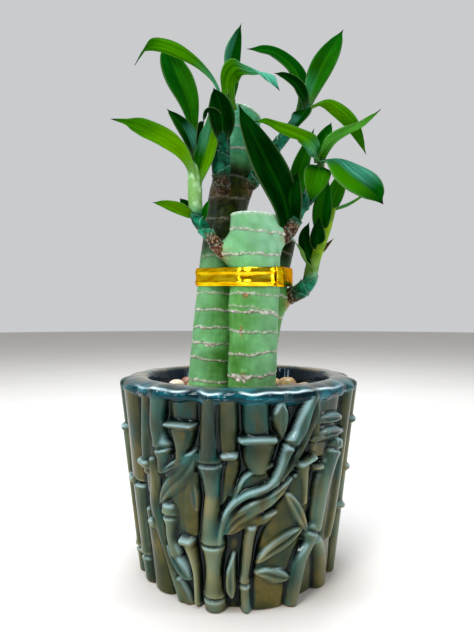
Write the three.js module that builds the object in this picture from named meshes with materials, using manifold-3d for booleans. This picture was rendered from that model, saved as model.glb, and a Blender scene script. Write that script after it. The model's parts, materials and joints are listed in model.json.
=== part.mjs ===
// Lucky bamboo in its pot: three cut canes tied with a gold ribbon, leafy side shoots,
// pebbles, and a round glazed pot with a bamboo relief. Millimetres, +Z up.
// The origin is the centre of the pot's flat base; -Y is the front.

import * as THREE from 'three';
import { mergeVertices } from 'three/addons/utils/BufferGeometryUtils.js';
import Module from 'manifold-3d';

const wasm = await Module();
wasm.setup();

// ---- driving dimensions -------------------------------------------------------------
const GAP = 0.3;                    // clearance between pieces that touch in the real plant
const POT = {
  height: 97.3, rimRadius: 60, mouthRadius: 46, floor: 7, floorRadius: 38,
  groundBase: 44, groundTop: 55.5,  // the wall between the relief's ridges, at z 0 and z 95
  groundTopHeight: 95, columns: 84,
};
const RIM = { start: 90, wave: 0.15, flat: 6 };  // its outside follows the relief faintly; its lip is flat
const RELIEF_TOP = [85, 92];        // the relief fades into the rolled rim between these heights
const RELIEF_MEAN = 4;              // and ends at this height over the ground
const WALL_ROWS = [2, 7, 13, 19, 25, 30, 35, 41, 47, 53, 59, 65, 70, 76, 81, 86, 89];
const MEDIUM = { bottom: POT.floor + GAP, top: 82, clearance: 2 * GAP, columns: 40 };
const CANE_FOOT = 22;               // how far up the canes' lower ends stand in the medium
const CANE_MESH = { sides: 20, steps: 10 };
const SHOOT_MESH = { sides: 8, steps: 13 };
const RIBBON = { middle: 147.3, height: 9.4, thickness: 0.8, rise: 0.068 };  // it sits higher at the back
const OVERLAP = {                    // it closes the ribbon: on the right, between front and back
  right: 15, front: -19.5, back: 8, thickness: 0.8, proud: 0.4, steps: 120,
};
const BLADE = {
  thickness: 0.8, edge: 0.6,        // the edges are this share of the midrib's thickness
  stations: 8, base: 0.3, belly: 0.94, lean: 0.88, fullness: 0.9, end: 0.985, tip: 0.06,
};
const PEBBLE_TURN = 0.7;            // how far each pebble is turned, in radians per millimetre of x

// ---- materials ----------------------------------------------------------------------
const material = (color, roughness, metalness = 0) =>
  new THREE.MeshStandardMaterial({ color, roughness, metalness });
const GLAZE = material('#4f6b5c', 0.12);
const GRIT = material('#5b4a3a', 0.9);
const CANE = material('#7fbf7a', 0.5);
const GOLD = material('#f2b200', 0.2, 1);
const SHOOT = material('#3f7f4a', 0.45);
const LEAF = {
  bright: material('#5fa800', 0.3), green: material('#2f8a1a', 0.3), dark: material('#0d4a10', 0.3),
  pale: material('#b8d8a0', 0.4), dry: material('#8a8460', 0.7),
};

// ---- solids and booleans ------------------------------------------------------------
function solidOf(geometry) {
  const bare = geometry.clone();
  bare.deleteAttribute('normal');
  bare.deleteAttribute('uv');
  const merged = mergeVertices(bare, 1e-4);
  return new wasm.Manifold(new wasm.Mesh({
    numProp: 3,
    vertProperties: new Float32Array(merged.attributes.position.array),
    triVerts: new Uint32Array(merged.index.array),
  }));
}

function geometryOf(solid) {
  const mesh = solid.getMesh();
  const geometry = new THREE.BufferGeometry();
  geometry.setAttribute('position', new THREE.BufferAttribute(mesh.vertProperties, 3));
  geometry.setIndex(new THREE.BufferAttribute(mesh.triVerts, 1));
  geometry.computeVertexNormals();
  return geometry;
}

// Cuts the tools away and keeps the largest piece, as a neighbour can shave a crumb off a blade's base.
function cut(geometry, tools) {
  const left = tools.reduce((solid, tool) => solid.subtract(solidOf(tool)), solidOf(geometry));
  return geometryOf(left.decompose().sort((a, b) => b.volume() - a.volume())[0]);
}

// A closed skin over rings of equally many points, with a fan over each end.
function loft(rings) {
  const around = rings[0].length;
  const positions = rings.flat().flatMap((p) => [p.x, p.y, p.z]);
  const index = [];
  for (let i = 0; i + 1 < rings.length; i += 1) {
    for (let j = 0; j < around; j += 1) {
      const a = i * around + j;
      const b = i * around + (j + 1) % around;
      index.push(a, b, b + around, a, b + around, a + around);
    }
  }
  for (const [ring, flip] of [[0, true], [rings.length - 1, false]]) {
    const middle = rings[ring].reduce((sum, p) => sum.add(p), new THREE.Vector3()).divideScalar(around);
    const apex = positions.length / 3;
    positions.push(middle.x, middle.y, middle.z);
    for (let j = 0; j < around; j += 1) {
      const a = ring * around + j;
      const b = ring * around + (j + 1) % around;
      index.push(...(flip ? [b, a, apex] : [a, b, apex]));
    }
  }
  const geometry = new THREE.BufferGeometry();
  geometry.setAttribute('position', new THREE.Float32BufferAttribute(positions, 3));
  geometry.setIndex(index);
  return geometry;
}

const vectors = (points) => points.map((p) => new THREE.Vector3(...p));

// Reads a list of values as a smooth function of t from 0 to 1.
function along(values, t) {
  const place = t * (values.length - 1);
  const i = Math.min(Math.floor(place), values.length - 2);
  return THREE.MathUtils.lerp(values[i], values[i + 1], place - i);
}

// A round rod through the points, its radius read from a list along the way.
function rod(points, radii, { sides = 10, steps = 12, grow = 0 } = {}) {
  const curve = new THREE.CatmullRomCurve3(vectors(points), false, 'centripetal');
  const { normals, binormals } = curve.computeFrenetFrames(steps, false);
  const rings = [];
  for (let i = 0; i <= steps; i += 1) {
    const t = i / steps;
    const centre = curve.getPointAt(t);
    const radius = along(radii, t) + grow;
    rings.push(Array.from({ length: sides }, (_, j) => {
      const angle = (2 * Math.PI * j) / sides;
      return centre.clone()
        .addScaledVector(normals[i], radius * Math.cos(angle))
        .addScaledVector(binormals[i], radius * Math.sin(angle));
    }));
  }
  return loft(rings);
}

// ---- the pot ------------------------------------------------------------------------
// The relief's culms on the unrolled wall. Each is a height above the ground and a path of
// [angle from the front in degrees, height z, half width].
const CULMS = [
  [4.0, [[-78, 95, 3.5], [-77, 50, 3.5], [-76, 0, 3.5]]],
  [4.2, [[-60, 95, 4.5], [-61, 52, 5], [-63, 0, 5.5]]],
  [4.4, [[-43, 95, 2.2], [-45, 77, 2.4], [-48, 62, 3], [-47, 48, 2.2]]],
  [3.2, [[-49, 42, 5], [-47, 19, 5.5], [-46, 0, 6]]],
  [4.6, [[-35, 95, 4.4], [-36, 78, 4], [-36, 71, 5.4], [-35, 64, 2.5]]],
  [2.0, [[-24, 95, 6.2], [-24, 84, 6.2]]],
  [4.6, [[-25, 82, 6.6], [-24, 74, 5], [-23, 68, 4.4]]],
  [2.0, [[-21, 66, 4.4], [-22, 34, 4.3]]],
  [4.6, [[-34, 40, 4], [-33, 31, 3.6], [-31, 24, 3.2]]],
  [4.4, [[-25, 31, 4.4], [-24, 22, 3.2], [-22, 14, 2.4]]],
  [3.6, [[-30, 11, 4.8], [-29, 0, 4.8]]],
  [5.2, [[-12, 95, 4.2], [-12, 80, 4.2], [-13, 66, 5.6], [-12, 52, 3.9], [-13, 42, 4.1],
    [-13, 30, 5.8], [-13, 19, 4.1], [-13, 7, 5.2], [-13, 0, 5.2]]],
  [3.2, [[-4, 95, 4.1], [-4, 70, 4.1], [-4, 54, 4.1], [-6, 46, 3.7]]],
  [2.0, [[8, 95, 4], [9, 78, 4]]],
  [4.6, [[8, 76, 8.2], [8, 67, 6], [8, 60, 5.6]]],
  [5.0, [[33, 95, 4.2], [29, 82, 3.8], [25, 74, 4.6], [21, 66, 4], [18, 57, 3.2]]],
  [4.2, [[8, 37, 4.2], [6, 21, 4.2], [3, 12, 3], [4, 0, 3]]],
  [4.4, [[31, 65, 4.8], [30, 55, 3.4], [30, 47, 2.6]]],
  [5.2, [[56, 70, 6.5], [50, 57, 6], [44, 46, 5], [39, 34, 4.6], [36, 26, 3.6], [32, 15, 4.2],
    [29, 0, 3.6]]],
  [4.0, [[74, 95, 4.5], [73, 50, 4.5], [71, 0, 4.5]]],
  [2.4, [[48, 26, 5], [49, 12, 6], [48, 0, 5]]],
  [2.4, [[17, 12, 5], [18, 0, 5]]],
];
const ground = (z) => POT.groundBase + (POT.groundTop - POT.groundBase) * (z / POT.groundTopHeight);
const PER_DEGREE = (ground(POT.height / 2) * Math.PI) / 180;  // millimetres round the wall per degree

// Height of a culm at an angle and height z: a parabola across its path.
function culmHeight([height, path], angle, z) {
  let best = 0;
  for (let i = 0; i + 1 < path.length; i += 1) {
    const [a0, z0, w0] = path[i];
    const [a1, z1, w1] = path[i + 1];
    const step = [(a1 - a0) * PER_DEGREE, z1 - z0];
    const to = [(angle - a0) * PER_DEGREE, z - z0];
    const share = (to[0] * step[0] + to[1] * step[1]) / (step[0] ** 2 + step[1] ** 2);
    const t = THREE.MathUtils.clamp(share, 0, 1);
    const away = Math.hypot(to[0] - t * step[0], to[1] - t * step[1]);
    const across = away / THREE.MathUtils.lerp(w0, w1, t);
    best = Math.max(best, height * (1 - across ** 2));
  }
  return best;
}

// The mould has two halves, so the relief comes twice round the pot.
function relief(angle, z) {
  const half = THREE.MathUtils.euclideanModulo(angle + 90, 180) - 90;
  return Math.max(0, ...CULMS.map((culm) => culmHeight(culm, half, z)));
}

// The inside wall as [radius, height], from the edge of the floor up to the lip.
const INSIDE = [
  [POT.floorRadius - 3, POT.floor], [POT.floorRadius, 10], [POT.floorRadius + 3, 30],
  [POT.mouthRadius - 2, 70], [POT.mouthRadius - 0.6, 88], [POT.mouthRadius, 94],
];

// How far the outside stands over its plain profile: the relief on the wall, a faint wave on the rim.
function raisedBy(degrees, z, radius) {
  const raised = relief(degrees, Math.min(z, RELIEF_TOP[0]));
  if (z > RIM.start) return radius > POT.mouthRadius + RIM.flat ? RIM.wave * (raised - RELIEF_MEAN) : 0;
  return THREE.MathUtils.lerp(raised, RELIEF_MEAN, THREE.MathUtils.smoothstep(z, ...RELIEF_TOP));
}

function turned(profile, columns) {
  const points = profile.map(([radius, z]) => new THREE.Vector2(radius, z));
  return new THREE.LatheGeometry(points, columns).rotateX(Math.PI / 2);
}

function pot() {
  const { rimRadius, mouthRadius, height } = POT;
  const lathe = turned([
    [0, 0], [ground(0) + 1, 0], ...WALL_ROWS.map((z) => [ground(z), z]),
    [rimRadius - 0.4, 92], [rimRadius - 2, 94.8], [rimRadius - 5, 96.6], [rimRadius - 9, height],
    [mouthRadius + 2, 96.6], ...[...INSIDE].reverse(), [0, POT.floor],
  ], POT.columns);
  const position = lathe.attributes.position;
  for (let i = 0; i < position.count; i += 1) {
    const [x, y, z] = [position.getX(i), position.getY(i), position.getZ(i)];
    const radius = Math.hypot(x, y);
    if (z < WALL_ROWS[0] || radius < ground(z) - 1e-3) continue;
    const grown = 1 + raisedBy(THREE.MathUtils.radToDeg(Math.atan2(x, -y)), z, radius) / radius;
    position.setXY(i, x * grown, y * grown);
  }
  return geometryOf(solidOf(lathe));
}

// ---- canes, medium, ribbon ----------------------------------------------------------
const CANES = {
  front: {
    path: [[6.4, -10, CANE_FOOT], [6.7, -10, 90], [8, -10, 140], [8.6, -10, 160], [8.8, -10, 176]],
    radii: [11.5, 11.5, 12.2, 12.6, 12.6],
  },
  left: {
    path: [[-19, 5, CANE_FOOT], [-15.5, 6.2, 90], [-10.8, 8, 141], [-5.2, 10.2, 190], [4.4, 11, 237]],
    radii: [11.4, 11.4, 11.4, 11.2, 8.6],
  },
  right: {
    path: [[2.5, 14.5, CANE_FOOT], [7.5, 14.2, 90], [11.6, 15, 116], [18.8, 15.6, 160],
      [20.4, 15.6, 169]],
    radii: [10.8, 11, 11, 11, 11],
  },
};
const cane = ({ path, radii }, grow = 0) => rod(path, radii, { ...CANE_MESH, grow });

// The medium follows the inside wall, a little clear of it, and is cut out round the canes.
function medium() {
  const { bottom, top, clearance, columns } = MEDIUM;
  const above = INSIDE.findIndex(([, z]) => z > top);
  const [[r0, z0], [r1, z1]] = [INSIDE[above - 1], INSIDE[above]];
  const wall = [...INSIDE.slice(1, above), [THREE.MathUtils.mapLinear(top, z0, z1, r0, r1), top]];
  const lathe = turned([
    [0, bottom], [INSIDE[0][0] - clearance, bottom], ...wall.map(([r, z]) => [r - clearance, z]), [0, top],
  ], columns);
  return cut(lathe, Object.values(CANES).map((spec) => cane(spec, GAP)));
}

// The convex outline round a set of points: the ribbon is pulled tight over the canes.
function hull(points) {
  const sorted = [...points].sort((a, b) => a.x - b.x || a.y - b.y);
  const turn = (o, a, b) => (a.x - o.x) * (b.y - o.y) - (a.y - o.y) * (b.x - o.x);
  const side = (list) => list.reduce((kept, p) => {
    while (kept.length > 1 && turn(kept.at(-2), kept.at(-1), p) <= 0) kept.pop();
    return [...kept, p];
  }, []);
  return [...side(sorted).slice(0, -1), ...side(sorted.reverse()).slice(0, -1)];
}

const ribbonMiddle = (y) => RIBBON.middle + RIBBON.rise * y;

// Each cane is taken as a circle where the band's lower and upper edges cross it.
function ribbonOutline(offset, { samples = 200, points = 36 } = {}) {
  const circles = Object.values(CANES).flatMap(({ path, radii }) => {
    const route = new THREE.CatmullRomCurve3(vectors(path), false, 'centripetal').getSpacedPoints(samples);
    return [-0.5, 0.5].map((end) => {
      const i = route.findIndex((p) => p.z >= ribbonMiddle(p.y) + end * RIBBON.height);
      return { at: route[i], radius: along(radii, i / samples) + offset };
    });
  });
  return hull(circles.flatMap(({ at, radius }) => Array.from({ length: points }, (_, j) => {
    const angle = (2 * Math.PI * j) / points;
    return new THREE.Vector2(at.x + radius * Math.cos(angle), at.y + radius * Math.sin(angle));
  })));
}

// Stands a flat shape up as a band, sheared to follow the ribbon's rise.
function band(shape, height) {
  const geometry = new THREE.ExtrudeGeometry(shape, { depth: height, bevelEnabled: false });
  const position = geometry.attributes.position;
  for (let i = 0; i < position.count; i += 1) {
    position.setZ(i, position.getZ(i) - height / 2 + ribbonMiddle(position.getY(i)));
  }
  return geometry;
}

function ribbon() {
  const shape = new THREE.Shape(ribbonOutline(GAP + RIBBON.thickness));
  shape.holes.push(new THREE.Path(ribbonOutline(GAP)));
  return band(shape, RIBBON.height);
}

// The overlap that closes the ribbon is a second layer over its right side.
function ribbonOverlap() {
  const { right, front, back, thickness, proud, steps } = OVERLAP;
  const layer = (offset) => new THREE.Path(ribbonOutline(offset)).getSpacedPoints(steps)
    .filter((p) => p.x > right && p.y > front && p.y < back);
  const inside = 2 * GAP + RIBBON.thickness;
  const shape = new THREE.Shape([...layer(inside), ...layer(inside + thickness).reverse()]);
  return band(shape, RIBBON.height + proud);
}

// ---- shoots -------------------------------------------------------------------------
// Each stem starts inside its cane and is cut back to the cane's skin.
const SHOOTS = {
  left: {
    from: 'front', radii: [4.4, 3.6, 3, 2.8, 2.7, 2.5, 2.3, 2, 1.4],
    path: [[-0.5, -10, 156], [-8.5, -12, 160], [-13, -13, 165], [-16.5, -13, 169.5], [-20, -12, 174.5],
      [-21.5, -11, 181], [-22, -10, 193], [-22.5, -9, 203.5], [-22.5, -8, 210]],
  },
  middle: {
    from: 'left', radii: [3.5, 4.2, 4.8, 4.4, 3.6, 2.6, 1.6],
    path: [[-6.5, 4, 192], [-8.5, -4, 195], [-9, -8, 203.5], [-8.5, -9.5, 213], [-7.5, -10, 223],
      [-6, -8.5, 232.5], [-5, -7, 239.5]],
  },
  right: {
    from: 'front', radii: [4, 4.4, 4, 3.8, 3.4, 3, 2.4, 1.6],
    path: [[12, -10, 164], [23.5, -12, 168], [27, -12, 174], [30, -12, 180.5], [35, -12, 186],
      [38.5, -12, 193.5], [40.5, -13, 200.5], [41, -14, 205.5]],
  },
  upper: {
    from: 'left', radii: [3.2, 3.4, 3.8, 3.4, 3.2, 2.8, 2.2, 1.4],
    path: [[-1.5, 9, 195], [7, 4, 197.5], [12.5, 3, 206.5], [17.5, 2, 213.5], [23.5, 1, 220.5],
      [29.5, 1, 229], [35, 1, 235], [36.5, 1, 238.5]],
  },
  rear: {
    from: 'right', radii: [4, 4.4, 4.2, 3.8, 3.4, 3, 2.6, 2, 1.2],
    path: [[20, 15, 135], [28.5, 14, 138], [33.5, 12, 140.5], [38, 10, 145], [39.5, 8, 152],
      [40.5, 5, 159], [43, 3, 166.5], [46.5, 1, 175.5], [49.5, 0, 183.5]],
  },
};
const shoot = ({ path, radii }, grow = 0) => rod(path, radii, { ...SHOOT_MESH, grow });

// ---- leaves -------------------------------------------------------------------------
// path is the midrib from the stem's middle to the tip; faces are the directions that the
// upper side looks in, from base to tip; fold is how far each half is raised, in degrees.
const LEAVES = {
  left: {
    left_long: {
      path: [[-22.5, -9, 203], [-27, -12, 209], [-34.5, -18, 212], [-42, -25, 214], [-48.5, -31, 215.5],
        [-57.5, -37, 215.5]],
      width: 15, faces: [[0.5, 0.45, 0.6], [0.1, 0.45, 0.9]], fold: 16, tone: 'bright',
    },
    left_upright: {
      path: [[-22.5, -7, 209], [-23.5, -3, 224], [-26.5, 2, 239.5], [-32, 7, 254], [-37, 11, 266.5],
        [-41, 14, 278.5]],
      width: 17, faces: [[0.25, -0.9, 0.35]], fold: 14, tone: 'green',
    },
    left_short: {
      path: [[-22.5, -10, 206], [-25, -10, 215.5], [-29.5, -9, 224], [-36.5, -7, 232.5]],
      width: 11, faces: [[0.5, -0.6, 0.4]], fold: 20, tone: 'dark',
    },
    left_curl: {
      path: [[-22.5, -8, 208.5], [-20.5, -9.5, 216.5], [-19.5, -8, 223.5], [-17.5, -5, 227]],
      width: 6, faces: [[0.8, -0.3, 0.4]], fold: 20, tone: 'dark',
    },
    left_inner: {
      path: [[-22, -9, 198], [-17.5, -9.5, 208], [-15, -8.5, 217.5], [-13.5, -8, 224.5],
        [-15, -6, 233.5]],
      width: 11, faces: [[-0.5, 0.6, 0.5], [-0.8, -0.3, 0.3]], fold: 22, tone: 'bright',
    },
    left_low_tip: {
      path: [[-21, -11.5, 175.5], [-25.5, -13, 177.5], [-30.5, -17, 179.5], [-35.5, -22, 180.5],
        [-40.5, -26, 180.5]],
      width: 9, faces: [[0.1, 0.5, 0.85]], fold: 18, tone: 'bright',
    },
    left_low_stub: {
      path: [[-21, -11, 176], [-24, -9, 179.5], [-26.5, -8, 183], [-30, -7, 187]],
      width: 8, faces: [[0.3, -0.8, 0.5]], fold: 18, tone: 'dark',
    },
    left_low_spur: {
      path: [[-20, -12, 174.5], [-17, -14, 176], [-16, -15, 180], [-14.5, -15, 184.5]],
      width: 6, faces: [[-0.6, -0.6, 0.2]], fold: 18, tone: 'green',
    },
  },
  middle: {
    middle_arch: {
      path: [[-7.5, -10, 226], [-10.5, -13, 240], [-17.5, -17, 247.5], [-26, -21, 252],
        [-34.5, -25, 254], [-42, -28, 253], [-45, -30, 248], [-48, -31, 242.5]],
      width: 14, faces: [[0.5, 0.4, 0.7], [0.1, 0.1, 1], [-0.5, 0, 0.8]], fold: 16, tone: 'bright',
    },
    middle_tall: {
      path: [[-5, -7.5, 237], [-5, -3, 248], [-4.5, 0, 261], [-1.5, 3, 273], [1.5, 5, 283]],
      width: 14, faces: [[0.75, -0.6, 0.1]], fold: 24, tone: 'green',
    },
    middle_twist: {
      path: [[-5.5, -8.5, 231], [-5.5, -9, 238.5], [-5, -10, 246], [-1.5, -12, 250.5],
        [4.5, -16, 247.5], [11.5, -20, 244], [16, -23, 239], [19.5, -24, 234]],
      width: 13, faces: [[0.4, 0.85, 0.2], [0.2, 0.3, 0.9], [0.2, -0.55, 0.8]], fold: 16, tone: 'bright',
    },
    middle_front: {
      path: [[-8, -10, 214], [-8, -15, 221], [-9.5, -15, 232], [-12.5, -13, 240.5]],
      width: 14, faces: [[0.1, -0.95, 0.1]], fold: 18, tone: 'dark',
    },
    middle_hook: {
      path: [[-8.5, -10, 220], [-12.5, -17.5, 228], [-17, -19, 230], [-19.5, -20, 223]],
      width: 7, faces: [[0, 0.3, 0.95]], fold: 18, tone: 'dark',
    },
  },
  right: {
    right_great: {
      path: [[25, -12, 170], [22.5, -19, 181], [18.5, -21, 191], [13, -22, 201.5], [7.5, -21, 213],
        [3, -19, 222.5], [0, -17, 230.5]],
      width: 17, faces: [[0.3, -0.9, -0.1]], fold: 12, tone: 'dark',
    },
    right_round: {
      path: [[27, -12, 174], [25, -19, 181.5], [25.5, -20, 189.5], [29, -17, 197]],
      width: 13, faces: [[-0.3, -0.9, 0.2]], fold: 14, tone: 'dark',
    },
    right_sweep: {
      path: [[40, -14, 203], [35.5, -19, 209.5], [31, -24, 211.5], [25, -25, 213.5], [18.5, -24, 216.5],
        [13, -22, 220], [7.5, -20, 221]],
      width: 14, faces: [[-0.6, -0.5, 0.5], [0, 0.35, 0.9], [0, 0.35, 0.9]], fold: 14, tone: 'bright',
    },
    right_small: {
      path: [[40.5, -13, 205], [41.5, -12, 211.5], [43.5, -12, 217], [46.5, -11, 224]],
      width: 9, faces: [[-0.5, -0.8, 0.2]], fold: 22, tone: 'green',
    },
    right_lift: {
      path: [[41, -13.5, 203], [46, -19, 210.5], [51, -25, 213], [57, -31, 214.5], [60.5, -35, 217],
        [63.5, -38, 219.5]],
      width: 14, faces: [[-0.35, -0.25, 0.9]], fold: 34, tone: 'bright',
    },
    right_broad: {
      path: [[40.5, -13.5, 203.5], [45.5, -22, 201], [51.5, -29, 193], [58, -35, 185],
        [64, -40, 176.5]],
      width: 20, faces: [[0.1, -0.75, 0.65]], fold: 10, tone: 'green',
    },
    right_droop: {
      path: [[40.5, -13, 201], [38, -22, 196], [35.5, -26, 187.5], [33.5, -27, 180.5]],
      width: 13, faces: [[0, -0.95, 0.3]], fold: 12, tone: 'green',
    },
    right_back: {
      path: [[30, -12, 180.5], [30.5, -7, 190], [31.5, -7, 201], [34.5, -8, 211], [38.5, -7, 222.5]],
      width: 11, faces: [[-0.5, -0.8, 0.1]], fold: 18, tone: 'green',
    },
  },
  upper: {
    upper_tall: {
      path: [[36.3, 1, 236], [41, 5, 250.5], [47, 9, 265], [53.5, 13, 277.5], [58, 15, 285.5]],
      width: 15, faces: [[-0.4, -0.9, 0.1]], fold: 14, tone: 'green',
    },
    upper_arch: {
      path: [[32.5, 1.5, 232.5], [34, 4.5, 243], [33.5, 7, 251], [31, 8, 258.5], [25, 9, 265.5],
        [17.5, 9, 270], [10.5, 8, 270.5], [4.5, 7, 270.5]],
      width: 14, faces: [[0.4, -0.8, 0.3], [0.2, -0.6, 0.75]], fold: 14, tone: 'green',
    },
    upper_under: {
      path: [[35, 1, 235], [33, -3, 240], [29.5, -5.5, 245], [23.5, -7.5, 248.5], [18, -8.5, 250]],
      width: 11, faces: [[0.3, -0.8, 0.4]], fold: 20, tone: 'dark',
    },
    upper_bow: {
      path: [[36, 1, 235.5], [46, 6, 240.5], [54, 10, 238], [61.5, 13, 232.5], [66.5, 15, 225.5],
        [71, 16, 216.5]],
      width: 15, faces: [[0.1, 0.3, 0.95], [0.6, 0.2, 0.6]], fold: 14, tone: 'bright',
    },
    upper_curl: {
      path: [[35.5, 1, 235.5], [33, -6, 230], [29.5, -9, 224.5], [26.5, -9, 219.5]],
      width: 11, faces: [[-0.4, -0.8, 0.4]], fold: 24, tone: 'dark',
    },
  },
  rear: {
    rear_front: {
      path: [[44, 2.5, 169], [42.5, -4, 176], [43, -6, 184], [45, -5, 192], [46.5, -4, 197]],
      width: 12, faces: [[0.1, -0.98, 0.1]], fold: 14, tone: 'green',
    },
    rear_strip: {
      path: [[47, 1, 178], [50.5, 5, 188], [54.5, 9, 198.5], [59, 12, 209]],
      width: 10, faces: [[-0.3, -0.9, 0.2]], fold: 18, tone: 'green',
    },
    rear_edge: {
      path: [[49, 0, 182.5], [57.5, 3, 185.5], [66, 7, 191], [74, 10, 197]],
      width: 10, faces: [[-0.5, 0, 0.85]], fold: 10, tone: 'bright',
    },
    rear_hook: {
      path: [[39.8, 7, 154], [35, -1, 160.5], [33.5, -3, 167.5], [36.5, -4, 175.5]],
      width: 12, faces: [[0.5, -0.8, 0.1]], fold: 20, tone: 'dark',
    },
    rear_inner: {
      path: [[42, 4, 163], [40.5, -3, 166], [40, -9, 171], [40.5, -11, 176.5]],
      width: 9, faces: [[0, -0.95, 0.1]], fold: 20, tone: 'dark',
    },
    rear_pale: {
      path: [[39.5, 7.5, 150], [35, -3, 155], [31.5, -7, 160.5], [28.5, -8.5, 164.5]],
      width: 6, faces: [[0.2, -0.6, 0.7]], fold: 20, tone: 'pale',
    },
    rear_dry_tip: {
      path: [[40.5, 5, 157.5], [44, 4, 161], [47.5, 5, 165], [51, 6, 168.5]],
      width: 2.4, faces: [[0.2, -0.6, 0.7]], fold: 10, tone: 'dry',
    },
  },
};

// Half the full width along a blade: narrow at the stem, widest before the middle, pointed tip.
function bladeHalf(width, t) {
  const belly = Math.sin(Math.PI * Math.min(t, BLADE.end) ** BLADE.lean) ** BLADE.fullness;
  return (width / 2) * Math.max(BLADE.base * (1 - t) ** 2 + BLADE.belly * belly, BLADE.tip);
}

function blade({ path, width, faces, fold }, grow = 0) {
  const curve = new THREE.CatmullRomCurve3(vectors(path), false, 'centripetal');
  const looks = vectors(faces.length > 1 ? faces : [faces[0], faces[0]]);
  const raised = THREE.MathUtils.degToRad(fold);
  const thick = BLADE.thickness / 2 + grow;
  const edge = thick * BLADE.edge;
  const rings = [];
  for (let i = 0; i <= BLADE.stations; i += 1) {
    const t = i / BLADE.stations;
    const forward = curve.getTangentAt(t);
    const look = new THREE.Vector3(...['x', 'y', 'z'].map((axis) => along(looks.map((v) => v[axis]), t)));
    const side = new THREE.Vector3().crossVectors(forward, look).normalize();
    const up = new THREE.Vector3().crossVectors(side, forward).normalize();
    const half = bladeHalf(width, t) + grow;
    const place = (across, height) => curve.getPointAt(t)
      .addScaledVector(side, across * half * Math.cos(raised))
      .addScaledVector(up, Math.abs(across) * half * Math.sin(raised) + height);
    rings.push([place(-1, edge), place(0, thick), place(1, edge),
      place(1, -edge), place(0, -thick), place(-1, -edge)]);
  }
  return loft(rings);
}

// ---- pebbles ------------------------------------------------------------------------
// [x, y, width, depth, height, colour] of the pebbles lying on the medium.
const PEBBLES = [
  [-34, 14, 11, 11, 9.6, '#f6f0e6'], [-29.5, 26.5, 9, 8, 9.8, '#a8584a'], [-25.5, 19, 8, 8, 8.4, '#dccac4'],
  [-35, 1, 11, 12, 8, '#e6d6b8'], [-30, -14, 13, 11, 8, '#d8ccc0'], [-17, -31, 13, 11, 7, '#b59a86'],
  [-2, -35, 12, 10, 7, '#efe8dc'], [13, -33, 13, 11, 7, '#cbb6a6'], [28, -24, 12, 12, 7.4, '#e8d8b0'],
  [34, -8, 12, 13, 8, '#dcd4d0'], [36, 8, 11, 12, 9, '#efe0d0'], [28, 25, 12, 11, 9.8, '#e2c27a'],
  [14, 37, 12, 10, 9.4, '#d9c6c8'], [-8, 36, 13, 10, 9, '#c4b2a2'],
];

function pebble([x, y, width, depth, height, colour]) {
  const ball = new THREE.IcosahedronGeometry(0.5, 1).deleteAttribute('normal').deleteAttribute('uv');
  const stone = new THREE.Mesh(mergeVertices(ball, 1e-4).scale(width, depth, height), material(colour, 0.6));
  stone.position.set(x, y, height / 2);
  stone.rotation.z = x * PEBBLE_TURN + y;
  return stone;
}

// ---- assembly -----------------------------------------------------------------------
const named = (name, mesh) => Object.assign(mesh, { name });
const piece = (name, geometry, look) => named(name, new THREE.Mesh(geometry, look));

const pebbles = new THREE.Group();
pebbles.position.z = MEDIUM.top + GAP;
PEBBLES.forEach((spec, i) => pebbles.add(named(`pebble_${String(i + 1).padStart(2, '0')}`, pebble(spec))));

const canes = new THREE.Group();
for (const [name, spec] of Object.entries(CANES)) canes.add(piece(`cane_${name}`, cane(spec), CANE));
canes.add(piece('ribbon', ribbon(), GOLD), piece('ribbon_overlap', ribbonOverlap(), GOLD));

// A shoot with its leaves: each blade is cut back from the stem and from the blades before it.
function leafyShoot(name, spec) {
  const group = new THREE.Group();
  group.add(piece(`shoot_${name}`, cut(shoot(spec), [cane(CANES[spec.from], GAP)]), SHOOT));
  const taken = [shoot(spec, GAP)];
  for (const [leaf, shape] of Object.entries(LEAVES[name])) {
    group.add(piece(`leaf_${leaf}`, cut(blade(shape), taken), LEAF[shape.tone]));
    taken.push(blade(shape, GAP));
  }
  return group;
}

const plant = new THREE.Group();
plant.add(piece('pot', pot(), GLAZE), piece('growing_medium', medium(), GRIT), pebbles, canes);
for (const [name, spec] of Object.entries(SHOOTS)) plant.add(leafyShoot(name, spec));

export default plant;
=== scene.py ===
"""Lucky bamboo in its pot: glazed relief pot, scarred canes, gold ribbon, leafy shoots and pebbles.

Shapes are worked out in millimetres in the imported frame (+Z up, -Y the front) and become metres
when their mesh is made.
"""
import json

import bpy
import numpy as np
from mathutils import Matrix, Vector


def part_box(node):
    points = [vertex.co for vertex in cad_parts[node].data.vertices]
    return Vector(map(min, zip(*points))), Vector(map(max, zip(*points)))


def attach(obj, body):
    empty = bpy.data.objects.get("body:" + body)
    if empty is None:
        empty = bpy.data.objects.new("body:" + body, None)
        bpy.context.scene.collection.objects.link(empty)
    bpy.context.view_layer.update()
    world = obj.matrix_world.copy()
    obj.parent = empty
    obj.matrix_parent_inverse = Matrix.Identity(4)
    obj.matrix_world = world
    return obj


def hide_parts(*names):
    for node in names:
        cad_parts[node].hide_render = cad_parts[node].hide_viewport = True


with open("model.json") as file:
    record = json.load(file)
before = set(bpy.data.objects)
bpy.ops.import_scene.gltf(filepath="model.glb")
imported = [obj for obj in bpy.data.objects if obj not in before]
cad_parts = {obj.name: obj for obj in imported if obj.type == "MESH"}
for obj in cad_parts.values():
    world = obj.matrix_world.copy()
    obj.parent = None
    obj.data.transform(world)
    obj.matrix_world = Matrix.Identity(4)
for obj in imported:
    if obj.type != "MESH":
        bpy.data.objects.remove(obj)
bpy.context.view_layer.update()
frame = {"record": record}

MM = 0.001


# ---- shaping helpers ------------------------------------------------------------------

def smoothstep(x, low, high):
    """0 below low, 1 above high, and a smooth S between them."""
    t = rise(x, low, high)
    return t * t * (3 - 2 * t)


def rise(x, low, high):
    """0 below low, 1 above high, and a straight slope between them."""
    return np.clip((x - low) / (high - low), 0, 1)


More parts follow.
